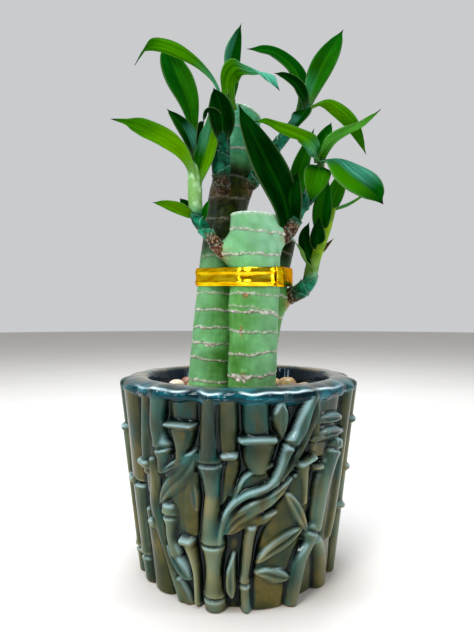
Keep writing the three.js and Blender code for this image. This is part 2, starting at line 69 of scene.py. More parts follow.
def bell(x, width):
    """A bell curve of height 1 that has nearly gone at 2 widths."""
    return np.exp(-(x / width) ** 2)


def soft_max(a, b, fillet):
    """The higher of two surfaces, with a fillet where they cross."""
    return 0.5 * (a + b + np.sqrt((a - b) ** 2 + fillet ** 2))


def ripple(points, size, seed, waves=7):
    """Smooth unevenness of about -1 to 1: the mean of sine waves that run in seeded directions."""
    rng = np.random.default_rng(seed)
    direction = unit(rng.normal(size=(waves, points.shape[-1])))
    rate = 2 * np.pi / (size * rng.uniform(0.7, 1.4, waves))
    phase = rng.uniform(0, 2 * np.pi, waves)
    return np.sin(points @ (direction * rate[:, None]).T + phase).mean(-1) * 1.7


def unit(vectors):
    """The vectors at length 1."""
    return vectors / np.linalg.norm(vectors, axis=-1, keepdims=True)


def turns(count):
    """Directions at even steps round a circle, as one row."""
    return np.linspace(0, 2 * np.pi, count, endpoint=False)[None, :]


def lengths(points):
    """How far along the line each of its points is."""
    return np.concatenate([[0], np.cumsum(np.linalg.norm(np.diff(points, axis=0), axis=1))])


def read_line(points, at):
    """The points that lie at the distances `at` along a line."""
    length = lengths(points)
    return np.stack([np.interp(at, length, points[:, k]) for k in range(points.shape[1])], -1)


def spline(points, count):
    """A centripetal Catmull-Rom curve through the points, read at even steps along its length, or at
    the shares of it that an array gives."""
    p = np.asarray(points, float)
    p = np.vstack([2 * p[0] - p[1], p, 2 * p[-1] - p[-2]])
    knot = np.concatenate([[0], np.cumsum(np.linalg.norm(np.diff(p, axis=0), axis=1) ** 0.5)])
    t = np.linspace(knot[1], knot[-2], 40 * len(p))
    i = np.clip(np.searchsorted(knot, t, side="right") - 1, 1, len(p) - 3)

    def between(a, b, ta, tb):
        return a * ((tb - t) / (tb - ta))[:, None] + b * ((t - ta) / (tb - ta))[:, None]

    t0, t1, t2, t3 = (knot[i + k] for k in (-1, 0, 1, 2))
    p0, p1, p2, p3 = (p[i + k] for k in (-1, 0, 1, 2))
    a1, a2, a3 = between(p0, p1, t0, t1), between(p1, p2, t1, t2), between(p2, p3, t2, t3)
    dense = between(between(a1, a2, t0, t2), between(a2, a3, t1, t3), t1, t2)
    shares = np.linspace(0, 1, count) if np.isscalar(count) else np.asarray(count)
    return read_line(dense, shares * lengths(dense)[-1])


def along(values, t):
    """Reads a list of values as a function of t from 0 to 1."""
    return np.interp(t, np.linspace(0, 1, len(values)), values)


def around_stem(path, across, columns):
    """Directions round a stem in `columns` steps, out from each point of its path, with their angles
    and the directions forward. The first one is as near as it can be to `across`."""
    theta = turns(columns)
    forward = unit(np.gradient(path, axis=0))
    first = unit(across - (forward @ across)[:, None] * forward)
    second = np.cross(forward, first)
    outward = first[:, None] * np.cos(theta)[..., None] + second[:, None] * np.sin(theta)[..., None]
    return theta, outward, forward


# ---- making pieces --------------------------------------------------------------------

def meshed(name, points, faces):
    """A smooth mesh, from points in millimetres."""
    mesh = bpy.data.meshes.new(name)
    mesh.from_pydata(points * MM, [], faces)
    mesh.polygons.foreach_set("use_smooth", np.ones(len(faces), bool))
    mesh.update()
    return mesh


def skin(name, rings, **attributes):
    """A closed mesh over rings of points, rings[row, column]: the columns close on themselves, and
    each end row is closed by a fan to its middle. Rings turn anticlockwise seen from the last row."""
    rows, columns = rings.shape[:2]
    index = np.arange(rows * columns).reshape(rows, columns)
    after = np.roll(index, -1, axis=1)
    quads = np.stack([index[:-1], after[:-1], after[1:], index[1:]], -1).reshape(-1, 4)
    first, last = np.full(columns, index.size), np.full(columns, index.size + 1)
    fans = [np.stack([after[0], index[0], first], -1), np.stack([index[-1], after[-1], last], -1)]
    points = np.vstack([rings.reshape(-1, 3), rings[0].mean(0), rings[-1].mean(0)])
    mesh = meshed(name, points, quads.tolist() + np.concatenate(fans).tolist())
    for key, values in attributes.items():
        values = np.broadcast_to(values, (rows, columns)).astype(float)
        values = np.concatenate([values.ravel(), [values[0].mean(), values[-1].mean()]])
        mesh.attributes.new(key, "FLOAT", "POINT").data.foreach_set("value", values)
    return mesh


def joined(name, meshes):
    """One mesh out of several, which keeps their attributes."""
    parts = [bpy.data.objects.new(name, mesh) for mesh in meshes]
    for part in parts:
        bpy.context.collection.objects.link(part)
    with bpy.context.temp_override(active_object=parts[0], selected_editable_objects=parts):
        bpy.ops.object.join()
    mesh = parts[0].data
    bpy.data.objects.remove(parts[0])
    return mesh


def piece(name, mesh, material, slot, *nodes):
    """Puts a mesh in the scene, riding on the plant's one body in place of the nodes it stands for."""
    made = bpy.data.objects.new(name, mesh)
    bpy.context.collection.objects.link(made)
    mesh.materials.append(material)
    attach(made, "root")
    if nodes:
        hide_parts(*nodes)


# ---- materials ------------------------------------------------------------------------

def linear(colour):
    """An sRGB hex colour as the linear values that a shader takes."""
    value = np.array([int(colour[i:i + 2], 16) / 255 for i in (1, 3, 5)])
    return (*np.where(value <= 0.04045, value / 12.92, ((value + 0.055) / 1.055) ** 2.4), 1.0)


def add(tree, kind, sockets=(), stops=(), out=None, **settings):
    """Adds a node with its settings and links, and returns the output named, or its first in use. A
    socket takes a value, a hex colour or another node's output; stops are a ramp's places and colours."""
    node = tree.nodes.new("ShaderNode" + kind)
    for key, value in settings.items():
        setattr(node, key, value)
    for key, value in dict(sockets).items():
        if isinstance(value, bpy.types.NodeSocket):
            tree.links.new(value, node.inputs[key])
        else:
            node.inputs[key].default_value = linear(value) if isinstance(value, str) else value
    for i, (place, colour) in enumerate(stops):
        stop = node.color_ramp.elements[i] if i < 2 else node.color_ramp.elements.new(place)
        stop.position, stop.color = place, linear(colour)
    return node.outputs[out] if out else next((o for o in node.outputs if o.enabled), None)


def finish(name):
    """An empty material, its node tree, and the place on the piece that its patterns go by."""
    material = bpy.data.materials.new(name)
    material.use_nodes = True
    material.node_tree.nodes.clear()
    return material, material.node_tree, add(material.node_tree, "TexCoord", out="Object")


def coats(tree, colour, layers):
    """Lays colours over a ground colour, each as strongly as a map carried by the piece says."""
    for attribute, over in layers:
        share = add(tree, "Attribute", attribute_name=attribute, out="Fac")
        colour = add(tree, "Mix", {0: share, 6: colour, 7: over}, data_type="RGBA")
    return colour


def size(*millimetres):
    """How often a pattern repeats in a metre, each way, from its size in millimetres."""
    return tuple(1 / (length * MM) for length in millimetres)


def glazed_stoneware():
    """Celadon glaze poured over stoneware: thin and olive on the ridges, teal where it is thicker, dark
    beside ridges and towards the rim where thick glaze and painted shade lie together, and on steep tops
    as a painted reflection of dark surroundings, nearly black in the hollows where pooled glaze has
    painted shade over it, pale along the ridges' edges where the glaze thins with a painted sheen over
    the proud stems, and with painted highlights on ledges that face up. The rim is dark teal with a
    painted highlight along its crest, worn thin and brown towards the inside, and the clay is bare under
    the foot."""
    material, tree, place = finish("glazed_stoneware")
    cloud, speck, wave = (
        add(tree, "TexNoise", {"Vector": place, "Scale": size(across)[0], "Detail": detail})
        for across, detail in ((16, 4), (2, 3), (4.5, 1)))
    drawn_down, drawn_round = (add(tree, "Mapping", {"Vector": place, "Scale": size(*spread)})
                               for spread in ((6, 6, 26), (12, 12, 3.5)))
    run, streak = (add(tree, "TexNoise", {"Vector": drawn, "Scale": 1.0, "Detail": 3.0})
                   for drawn in (drawn_down, drawn_round))
    thin = add(tree, "ValToRGB", {"Fac": cloud}, [(0.36, "#2c3616"), (0.5, "#4c4c1e"), (0.64, "#6e622a")])
    thin = add(tree, "Mix", {0: speck, 6: thin, 7: "#6a7058"}, data_type="RGBA", blend_type="SOFT_LIGHT")
    runs = add(tree, "ValToRGB", {"Fac": run}, [(0.53, "#000000"), (0.66, "#ffffff")])
    thin = add(tree, "Mix", {0: runs, 6: thin, 7: "#183a2c"}, data_type="RGBA")
    teal, rim, edge, worn, clay = (add(tree, "ValToRGB", {"Fac": cause}, stops) for cause, stops in (
        (run, [(0.36, "#04201f"), (0.5, "#0f4846"), (0.64, "#2a6c68")]),
        (streak, [(0.36, "#01161c"), (0.52, "#053c46"), (0.66, "#10626c")]),
        (cloud, [(0.4, "#94a482"), (0.6, "#aea474")]),
        (cloud, [(0.38, "#2b4a4c"), (0.5, "#6a6450"), (0.62, "#8d7c64")]),
        (speck, [(0.35, "#8f6c50"), (0.65, "#b8926e")])))
    # Of these coats, the dark one beside ridges and the near-black one in the hollows are partly glaze
    # colour and partly painted shade, the pale one along edges partly a painted sheen, and the two palest,
    # on ledges and along the rim's crest, painted highlights.
    colour = coats(tree, thin, [
        ("teal", teal), ("deep", "#041a16"), ("edge", edge), ("pool", "#010607"), ("rim", rim),
        ("ledge", "#a8d0d6"), ("crest", "#cfe6ea"), ("worn", worn), ("inside", "#0b1a28"), ("bare", clay)])
    bare = add(tree, "Attribute", attribute_name="bare", out="Fac")
    gloss = add(tree, "MapRange", {"Value": bare, "To Min": 0.07, "To Max": 0.85})
    waves = add(tree, "Bump", {"Height": wave, "Distance": 0.12 * MM, "Strength": 0.5})
    shader = add(tree, "BsdfPrincipled", {
        "Base Color": colour, "Roughness": gloss, "IOR": 1.5, "Specular IOR Level": 0.3,
        "Specular Tint": "#d0e4e4", "Normal": waves})
    add(tree, "OutputMaterial", {"Surface": shader})
    return material


def cane_skin():
    """Living cane skin: waxy, with a pale bloom over mottled green that is stronger on the side the
    light falls on as painted light, olive further up partly as painted shadow under the leaves, teal
    above that partly as painted light, dry pinkish-grey leaf scars round it with dark cracks and painted
    shadow lines along them, brown corky bosses where shoots break out, and a dry fibrous cut."""
    material, tree, place = finish("cane_skin")
    drawn_out = add(tree, "Mapping", {"Vector": place, "Scale": size(1.1, 1.1, 14)})
    cloud, mottle, fibre, flake = (
        add(tree, "TexNoise", {"Vector": at, "Scale": scale, "Detail": detail})
        for at, scale, detail in ((place, size(15)[0], 4), (place, size(3)[0], 4), (drawn_out, 1, 2),
                                  (place, size(1.3)[0], 4)))
    green, light, stripe, olive, teal, bark, scar, face = (
        add(tree, "ValToRGB", {"Fac": cause}, stops) for cause, stops in (
            (cloud, [(0.34, "#52a83a"), (0.47, "#6ab854"), (0.56, "#7ac672"), (0.68, "#90d492")]),
            (mottle, [(0.35, "#5c6a58"), (0.7, "#a2a89c")]),
            (fibre, [(0.35, "#6e7468"), (0.7, "#94968c")]),
            (mottle, [(0.4, "#0d1802"), (0.6, "#253404")]),
            (mottle, [(0.35, "#229060"), (0.65, "#56b688")]),
            (flake, [(0.35, "#5f2f14"), (0.5, "#a5642c"), (0.65, "#c9a184")]),
            (flake, [(0.34, "#93807a"), (0.48, "#c9beb8"), (0.6, "#ebe6e0")]),
            (flake, [(0.35, "#8f7a58"), (0.65, "#c4b08a")])))
    for share, over in ((0.45, light), (0.5, stripe)):
        green = add(tree, "Mix", {0: share, 6: green, 7: over}, data_type="RGBA", blend_type="OVERLAY")
    # The bloom coat is partly real bloom and partly painted light, the olive and dark coats partly painted
    # shadow, and the teal coat partly painted light.
    colour = coats(tree, green, [("bloom", "#92ccaa"), ("olive", olive), ("teal", teal), ("wood", bark),
                                 ("dark", "#2a1e14"), ("scar", scar), ("cut", face)])
    dry = [add(tree, "Attribute", attribute_name=name, out="Fac") for name in ("scar", "cut")]
    dry = add(tree, "Math", enumerate(dry), operation="MAXIMUM")
    rough = add(tree, "MapRange", {"Value": dry, "To Min": 0.38, "To Max": 0.8})
    grain = add(tree, "Bump", {"Height": fibre, "Distance": 0.07 * MM, "Strength": 0.5})
    grain = add(tree, "Bump", {"Height": flake, "Distance": 0.06 * MM, "Strength": 0.4, "Normal": grain})
    shader = add(tree, "BsdfPrincipled", {
        "Base Color": colour, "Roughness": rough, "Normal": grain, "IOR": 1.45, "Specular IOR Level": 0.2,
        "Subsurface Weight": 0.06, "Subsurface Radius": (0.002, 0.004, 0.001), "Subsurface Scale": 1.0})
    add(tree, "OutputMaterial", {"Surface": shader})
    return material


def sheathed_stem():
    """Young stem wrapped in leaf sheaths: satin blue-green, with thin papery sheath edges, pale or
    yellow-green where it is newest, with painted shade just above each sheath edge and over whole shoots
    that stand in shade, and cracked brown bark at its foot."""
    material, tree, place = finish("sheathed_stem")
    cloud, flake = (add(tree, "TexNoise", {"Vector": place, "Scale": size(across)[0], "Detail": detail})
                    for across, detail in ((5, 3), (1.2, 4)))
    green, pale, fresh, bark, paper = (add(tree, "ValToRGB", {"Fac": cause}, stops) for cause, stops in (
        (cloud, [(0.36, "#053c26"), (0.5, "#0c704e"), (0.64, "#229c78")]),
        (cloud, [(0.38, "#86ba5c"), (0.5, "#98ca7c"), (0.64, "#b6dca4")]),
        (cloud, [(0.38, "#5e8c00"), (0.62, "#8cb80e")]),
        (flake, [(0.36, "#2a1a0c"), (0.52, "#5e3c20"), (0.66, "#b09680")]),
        (flake, [(0.4, "#3f907a"), (0.64, "#a8c4b0")])))
    # The dark coat is painted shade.
    colour = coats(tree, green, [("pale", pale), ("fresh", fresh), ("old", bark), ("dark", "#04180e"),
                                 ("ring", paper)])
    grain = add(tree, "Bump", {"Height": flake, "Distance": 0.05 * MM, "Strength": 0.4})
    shader = add(tree, "BsdfPrincipled", {"Base Color": colour, "Roughness": 0.28, "IOR": 1.45,
                                          "Specular IOR Level": 0.12, "Normal": grain})
    add(tree, "OutputMaterial", {"Surface": shader})
    return material


# The bright tone stands partly for blades lit through from above and the dark one partly for blades in
# shade: painted light and shade over the leaves' own greens.
LEAF_TONES = {   # upper side in full green, where it is deeper, the light let through, and how much
    "bright": ("#3a9606", "#1e6a04", "#8cd000", 0.40),
    "green": ("#0c640c", "#054406", "#4ea800", 0.26),
    "dark": ("#043c08", "#022804", "#2c8404", 0.18),
    "pale": ("#7fb452", "#578f30", "#b8dc70", 0.40),
    "dry": ("#7c6a40", "#4f4024", "#a08850", 0.15),
}


def leaf_blade(tone):
    """A strap leaf's waxy blade: fine parallel veins, a faint midrib, a thin pale margin, a blanched
    base and a dry dark tip, with a bluish wash that is partly the wax's own colour and partly a painted
    sheen, and painted light let through and painted shade where the blade's own maps say. Light from
    above shows through it. It has no mirror gloss, because a broad light overhead would grey the whole
    blade."""
    upper, deep, through, share = LEAF_TONES[tone]
    material, tree, _ = finish(f"leaf_blade_{tone}")
    across, along_blade, seed = (
        add(tree, "Attribute", attribute_name=name, out="Fac") for name in ("across_mm", "along_mm", "seed"))
    spot = add(tree, "CombineXYZ", {0: across, 1: along_blade, 2: seed})
    narrow, broad = (add(tree, "Mapping", {"Vector": spot, "Scale": (1 / wide, 1 / long, 1)})
                     for wide, long in ((0.7, 34), (6, 16)))      # millimetres across and along the blade
    vein, patch = (add(tree, "TexNoise", {"Vector": at, "Scale": 1.0, "Detail": detail})
                   for at, detail in ((narrow, 3), (broad, 2)))
    green, lined, wax, glow = (add(tree, "ValToRGB", {"Fac": cause}, stops) for cause, stops in (
        (patch, [(0.35, deep), (0.62, upper)]),
        (vein, [(0.35, "#626262"), (0.68, "#969696")]),
        (vein, [(0.3, "#158a60"), (0.7, "#74c8b4")]),
        (vein, [(0.35, deep), (0.6, through)])))
    green = add(tree, "Mix", {0: 0.6, 6: green, 7: lined}, data_type="RGBA", blend_type="OVERLAY")
    lit = add(tree, "Mix", {0: 0.5, 6: green, 7: through}, data_type="RGBA")
    blanched = add(tree, "Mix", {0: 0.65, 6: green, 7: "#b0dc90"}, data_type="RGBA")
    # The lit coat is painted light let through, the shade coat painted shade, and the wax coat partly a
    # painted sheen.
    colour = coats(tree, green, [("lit", lit), ("shade", deep), ("wax", wax), ("rib", lit),
                                 ("margin", blanched), ("base", blanched), ("tip", "#0b0f07")])
    glow = coats(tree, glow, [("shade", deep), ("tip", "#0b0f07")])
    gloss = add(tree, "MapRange", {"Value": vein, "To Min": 0.14, "To Max": 0.22})
    grain = add(tree, "Bump", {"Height": vein, "Distance": 0.03 * MM, "Strength": 0.5})
    shader = add(tree, "BsdfPrincipled", {"Base Color": colour, "Roughness": gloss, "IOR": 1.45,
                                          "Specular IOR Level": 0.0, "Normal": grain})
    glowing = add(tree, "BsdfTranslucent", {"Color": glow, "Normal": grain})
    both = add(tree, "MixShader", {0: share, 1: shader, 2: glowing})
    add(tree, "OutputMaterial", {"Surface": both})
    return material


def gold_film():
    """Metallised polyester film: mirror-like and deep yellow, with faint stretch lines along it."""
    material, tree, place = finish("gold_film")
    drawn_out = add(tree, "Mapping", {"Vector": place, "Scale": size(9, 9, 1.3)})
    crease = add(tree, "TexNoise", {"Vector": drawn_out, "Scale": 1.0, "Detail": 3.0})
    colour = add(tree, "ValToRGB", {"Fac": crease}, [(0.35, "#dca000"), (0.62, "#ffe028")])
    gloss = add(tree, "MapRange", {"Value": crease, "To Min": 0.06, "To Max": 0.26})
    buckle = add(tree, "Bump", {"Height": crease, "Distance": 0.5 * MM, "Strength": 0.6})
    shader = add(tree, "BsdfPrincipled", {"Base Color": colour, "Metallic": 1.0, "Roughness": gloss,
                                          "Specular Tint": "#ffc000", "Normal": buckle})
    add(tree, "OutputMaterial", {"Surface": shader})
    return material


def river_stone(shade, base, vein):
    """Tumbled river pebble: satin and a little damp, clouded and speckled with its minerals, and
    warmer where its own shade map says."""
    material, tree, place = finish(f"river_stone_{shade}")
    cloud, speck = (add(tree, "TexNoise", {"Vector": place, "Scale": size(across)[0], "Detail": detail})
                    for across, detail in ((4, 4), (0.8, 2)))
    colour = add(tree, "ValToRGB", {"Fac": cloud}, [(0.38, vein), (0.6, base)])
    grey = add(tree, "ValToRGB", {"Fac": speck}, [(0.5, "#808080"), (0.72, "#584c44")])
    colour = add(tree, "Mix", {0: 0.7, 6: colour, 7: grey}, data_type="RGBA", blend_type="OVERLAY")
    warm = add(tree, "Mix", {0: 0.5, 6: colour, 7: "#b08a66"}, data_type="RGBA")
    colour = coats(tree, colour, [("shade", warm)])
    pit = add(tree, "Bump", {"Height": speck, "Distance": 0.1 * MM, "Strength": 0.4})
    shader = add(tree, "BsdfPrincipled", {
        "Base Color": colour, "Roughness": 0.34, "Normal": pit, "Subsurface Weight": 0.08,
        "Subsurface Radius": (0.003, 0.002, 0.001), "Subsurface Scale": 1.0})
    add(tree, "OutputMaterial", {"Surface": shader})
    return material


def damp_grit():
    """Damp horticultural grit: grains of brown and grey stone about 2 mm across."""
    material, tree, place = finish("damp_grit")
    shade, round_grain = (add(tree, "TexVoronoi", {"Vector": place, "Scale": size(2)[0]}, out=out)
                          for out in ("Color", "Distance"))
    colour = add(tree, "ValToRGB", {"Fac": shade}, [(0.3, "#2c241c"), (0.5, "#5c4c3c"), (0.75, "#8a7860")])
    bed = add(tree, "Bump", {"Height": round_grain, "Distance": 0.8 * MM}, invert=True)
    shader = add(tree, "BsdfPrincipled", {"Base Color": colour, "Roughness": 0.7, "Normal": bed})
    add(tree, "OutputMaterial", {"Surface": shader})
    return material


def painted_board():
    """Matt painted board: pale, with the faintest roller texture."""
    material, tree, place = finish("painted_board")
    cloud = add(tree, "TexNoise", {"Vector": place, "Scale": size(120)[0], "Detail": 2.0})
    colour = add(tree, "ValToRGB", {"Fac": cloud}, [(0.35, "#dfdbd4"), (0.65, "#e2ded8")])
    shader = add(tree, "BsdfPrincipled", {"Base Color": colour, "Roughness": 0.65})
    add(tree, "OutputMaterial", {"Surface": shader})
    return material


# ---- the pot --------------------------------------------------------------------------

WALL_BASE, WALL_TOP, WALL_TOP_Z = 44.0, 55.5, 95.0     # the wall between the ridges, at z 0 and 95
BRIM_Z, BRIM_RADIUS = 93.2, 58.1                       # where the rim's roll stands out furthest
MOUTH_RADIUS = 46                                      # where the rim meets the inside
UNEVEN_RADIUS = 58                                     # of the circle that the rim's unevenness is read on
RELIEF_Z = 92.0                                        # above this the relief runs up under the rim
FRONT = 80             # degrees each side of the front in which the pot's columns are closer together
FRONT_COLUMNS, BACK_COLUMNS = 264, 196
WALL_ROWS, LIP_ROWS, INSIDE_ROWS = 156, 34, 14
MAP_STEP = 0.5                                         # of the relief's map, in degrees and millimetres
MAP_ANGLES = np.arange(-90, 90, MAP_STEP)
MAP_HEIGHTS = np.arange(0, 97, MAP_STEP)


def ground(z):
    """The wall's radius between the ridges."""
    return WALL_BASE + (WALL_TOP - WALL_BASE) * z / WALL_TOP_Z


PER_DEGREE = np.radians(1) * ground(48)                # millimetres round the wall for each degree

# Each stroke of the relief: height, teal glaze on it, a path of (angle from the front, z, half width)
# and the heights of its nodes. The mould has two halves, so all of it comes twice.
CULMS = [
    (4.8, 0, [(-79.5, 95, 4.2), (-79.5, 76, 4), (-79, 58, 4.2)]),
    (6, 0, [(-79.3, 72, 3.8), (-78.5, 40, 4.6), (-78, 0, 5)], 12),
    (4.4, 0, [(-62.5, 95, 7.4), (-63.5, 72, 7.8), (-68, 50, 7)]),
    (4.6, 0.1, [(-68.5, 46, 7), (-67.5, 22, 6.6), (-64.5, 0, 6.2)], 12),
    (3.8, 0.2, [(-45, 95, 3), (-49, 76, 3.4), (-51, 66, 3.4), (-51, 56, 2.4)]),
    (3.4, 0, [(-54, 38, 3), (-51, 22, 6.8), (-50, 0, 8.2)]),
    (3.6, 0.1, [(-46, 63, 2.4), (-46, 51, 4), (-48, 43, 4.4), (-46, 34, 4), (-42, 24, 3), (-37, 11, 2.8),
                (-32, 0, 3.6)]),
    (4.8, 0.6, [(-37, 95, 4.2), (-40, 79, 3.9), (-39, 73, 4.2), (-38, 69.5, 5.3), (-37.5, 65, 3.6),
                (-39, 59, 1.2)], 69.5),
    (2, 0.1, [(-25, 95, 5.9), (-25, 80, 6)]),
    (4.4, 0, [(-26, 79, 6.5), (-26, 74, 4.6), (-26.5, 70, 3.2), (-28, 64, 1.8)]),
    (2.4, 0, [(-22, 61, 3.4), (-24, 49, 4.2), (-25, 33, 4.6)]),
    (4.8, 0.2, [(-36, 44, 4.4), (-36, 39.5, 5.1), (-35.5, 36, 3.8), (-36, 30, 3.1), (-34, 22, 3.4)], 39.5),
    (4.4, 0, [(-26, 29, 4), (-24, 23, 2.5), (-22.5, 16, 1.7), (-22.5, 2, 1.8)]),
    (3.4, 0.1, [(-35, 10, 3.4), (-31, 4, 3.8), (-28, 0, 3.4)]),
    (5.2, 0.75, [(-12, 95, 3.2), (-13, 80, 3.7), (-13, 71, 4.4), (-13, 65.5, 5.8), (-12.5, 60, 4.3),
                 (-12, 52, 3.7)], 65.5),
    (5.2, 0.12, [(-12, 52, 3.7), (-13, 38, 4.8), (-13, 30, 5.8), (-13, 25, 4.5), (-13, 18, 3.9),
                 (-13, 9, 5.1), (-13, 6, 5.6), (-13, 0, 5.3)], 30, 6),
    (3.9, 0.1, [(-5, 95, 3.7), (-5, 80, 4), (-5, 70, 3.8)]),
    (2.8, 0, [(-3, 67, 3.2), (-5, 56, 2.8), (-7.5, 48, 1.2)]),
    (3, 0.3, [(7, 95, 5), (8, 77, 5.6)]),
    (4.6, 0, [(9, 74.5, 7.2), (8.5, 68, 5.9), (9, 62, 3.8)]),
    (3.6, 0.1, [(36, 92, 2), (35, 84, 2.2), (31, 74, 2.2), (25, 65, 2.6), (19, 58, 2.2)]),
    (5.4, 0.8, [(34, 95, 2.4), (32, 91, 2.5), (30, 86, 3), (27, 78, 3.8), (24.5, 75, 3.8), (22, 71, 2.7),
                (20, 66, 2.2), (17, 60, 1.9), (13, 56, 2.1)], 72.7),
    (4.2, 0.9, [(-3, 50, 0.8), (0, 55, 0.9), (2, 59, 1), (6, 62, 1), (15, 64.5, 0.7)]),
    (5.6, 1, [(-9, 31, 1), (-7, 41, 1.7), (-3, 48, 2), (3, 52.5, 2.3), (10, 54.5, 2.6), (17, 57.5, 2)]),
    (3, 0.1, [(-4, 35, 1), (4, 40, 3), (12, 41, 2.8), (18, 44, 0.6)]),
    (4.6, 0.7, [(6, 38, 3), (5, 33, 2.6), (4, 24, 2.4), (3, 16, 2.3), (3, 13, 3), (3.2, 8, 2.5),
                (4, 0, 2.8)], 13),
    (4.2, 0, [(31, 62, 3.5), (32, 56, 2.3), (33, 46, 1.2)]),
    (5.4, 0.6, [(53, 71, 6), (50, 64, 6), (46, 55, 5.7), (43.5, 45, 5.2), (42, 35, 5), (39.5, 31, 5.6),
                (38, 27, 3.6), (33, 20, 4.6), (31, 12, 4.8), (29, 0, 4)], 67, 31.5),
    (3.6, 0, [(35, 92, 2), (36.5, 84, 2.2), (37, 76, 1.8), (36, 69, 1.2)]),
    (4, 0, [(66, 95, 4.6), (64, 75, 4.4), (62, 50, 4.4), (60, 34, 3.8), (57, 24, 1.6)]),
    (3.6, 0.1, [(47, 25, 3), (53, 15, 5), (57, 0, 6)]),
    (4.6, 0.1, [(78, 95, 4.6), (78, 60, 4.4), (77, 0, 5)]),
    (2.6, 0, [(20, 10, 4.8), (20, 0, 5)]),
    (2, 0, [(10.5, 12, 3), (11, 0, 3.2)]),
]
RELIEF_LEAVES = [
    (3.8, 0.3, [(-43, 43, 0.5), (-36, 51, 3.9), (-25, 61, 4), (-19, 69, 0.8)]),
    (4.8, 1, [(-41, 57, 0.4), (-31, 63, 1.8), (-24, 67, 1.7), (-20, 70.5, 0.4)]),
    (3.4, 1, [(-21.5, 57, 0.6), (-21, 50, 2.1), (-20.5, 44, 0.6)]),
    (4.8, 0.9, [(-39, 25, 0.8), (-34, 20, 3.6), (-29, 15, 4), (-25, 12.5, 0.8)]),
    (4.2, 0.5, [(18, 92, 0.6), (18, 85, 3.6), (19, 76, 0.6)]),
    (4.4, 0.3, [(-6, 35, 0.8), (-2, 41, 3.8), (6, 46, 4.2), (16, 51, 3), (25, 58, 0.4)]),
    (5.4, 1, [(3, 44, 0.4), (9, 46.5, 1.8), (14, 49, 1.7), (18, 51.5, 0.4)]),
    (4.6, 0.6, [(-2.5, 26, 0.5), (-4, 17, 2.4), (-4, 10, 2.6), (-3.5, 6, 0.6)]),
    (4.6, 0.1, [(22, 52, 0.5), (26, 47, 2.8), (30, 41, 3.4), (36, 32, 0.6)]),
    (4.6, 0.1, [(9, 22, 0.5), (15, 27, 3.6), (23, 31, 4.8), (33, 35.5, 0.8)]),
    (4.6, 0.3, [(8, 17.5, 0.5), (13, 17.5, 3.2), (20, 15, 4.2), (27, 13, 0.6)]),
    (4.4, 0.7, [(35, 82, 0.5), (42, 82, 2.8), (50, 81.5, 2.8), (58, 80, 0.5)]),
    (4.4, 0.5, [(34, 73, 0.5), (41, 75, 3.4), (50, 75, 3), (62, 73, 0.5)]),
]
PANELS = [      # flat ground a little above the wall
    (2.7, 0, [(31, 58, 5), (27.5, 45, 8.2), (22, 30, 10), (18, 18, 9.6), (15.5, 0, 8.6)]),
    (2.7, 0.1, [(-3, 52, 1.6), (3, 57, 3), (12, 61, 3.4)]),
    (2.2, 0, [(45, 95, 9.5), (44, 80, 9.5), (42, 66, 7)]),
    (2.2, 0, [(-47, 95, 4), (-49, 60, 6), (-48, 30, 6)]),
    (2.2, 0, [(-30, 66, 7), (-32, 40, 8), (-27, 31, 6)]),
    (2, 0, [(56, 66, 7), (57, 30, 7), (62, 0, 9)]),
]
KNOBS = [
    (6.6, 0.3, [(-82, 72, 1.9), (-77, 71.5, 1.9)]),
    (5.8, 0.4, [(-74, 49, 2.2), (-68, 48, 2.2)]),
    (5.4, 0.4, [(-54, 61, 2.2), (-49, 60, 2.2)]),
    (5.4, 0.5, [(-50, 34, 1.4), (-48, 32, 1.2)]),
    (6.2, 0.6, [(-32, 81, 1.6), (-20, 81, 1.6)]),
    (6, 0.5, [(-28.5, 30, 2), (-23.5, 30, 2)]),
    (6.2, 0.5, [(-6.4, 69, 1.8), (-1.6, 69.3, 1.8)]),
    (6.4, 0.6, [(1.2, 75.8, 1.8), (14.8, 75.8, 1.8)]),
    (6, 0.4, [(28, 63.5, 1.6), (35.5, 66, 1.4)]),
    (4.8, 0.1, [(39, 60.5, 1.3), (41.5, 60.5, 1.3)]),
    (6, 0.3, [(75, 76, 2), (79, 76, 2)]),
    (6, 0.3, [(76, 52, 2), (79, 52, 2)]),
    (6, 0.3, [(73, 34, 2), (77, 33, 2)]),
]
CAP = 1.4                       # how far a wide stroke runs on past the end of its path
SWELLING, GROOVE = 0.16, 0.5    # at a node, as shares of the stroke's height
RELIEF_BLUR, RELIEF_GAIN = 0.36, 1.1    # how far glaze rounds the relief off, and the height it gives back
TEAL_BLUR = 0.9


def nearest(angle, z, path):
    """For each place on the unrolled wall: its distance from the path over the half width there,
    the distance in millimetres with its side as the sign, and the path's height z there."""
    start, step = path[:-1], np.diff(path, axis=0)
    over, up = (angle[:, None] - start[:, 0]) * PER_DEGREE, z[:, None] - start[:, 1]
    step_over, step_up = step[:, 0] * PER_DEGREE, step[:, 1]
    squared = step_over ** 2 + step_up ** 2
    raw = (over * step_over + up * step_up) / squared
    share = np.clip(raw, 0, 1)
    past = (raw - share) * np.sqrt(squared)
    side = (over * step_up - up * step_over) / np.sqrt(squared)
    half = start[:, 2] + share * step[:, 2]
    ratio = np.hypot(side / half, past / np.minimum(half, CAP))
    best = (np.arange(len(angle)), ratio.argmin(1))
    return ratio[best], side[best], (start[:, 1] + share * step_up)[best]


# Sections: how high a stroke stands, as a share of its height, by its nearest ratio and side.
def culm_section(ratio, away):
    """A round stem, half sunk in the wall."""
    return np.sqrt(np.clip(1 - ratio ** 2, 0, 1))


def leaf_section(ratio, away):
    """A flat leaf with soft shoulders and a creased midrib."""
    return np.sqrt(np.clip(1 - ratio ** 3, 0, 1)) * (1 - 0.3 * bell(away, 0.5))


def knob_section(ratio, away):
    """A full, flat-topped boss."""
    return np.sqrt(np.clip(1 - ratio ** 4, 0, 1))


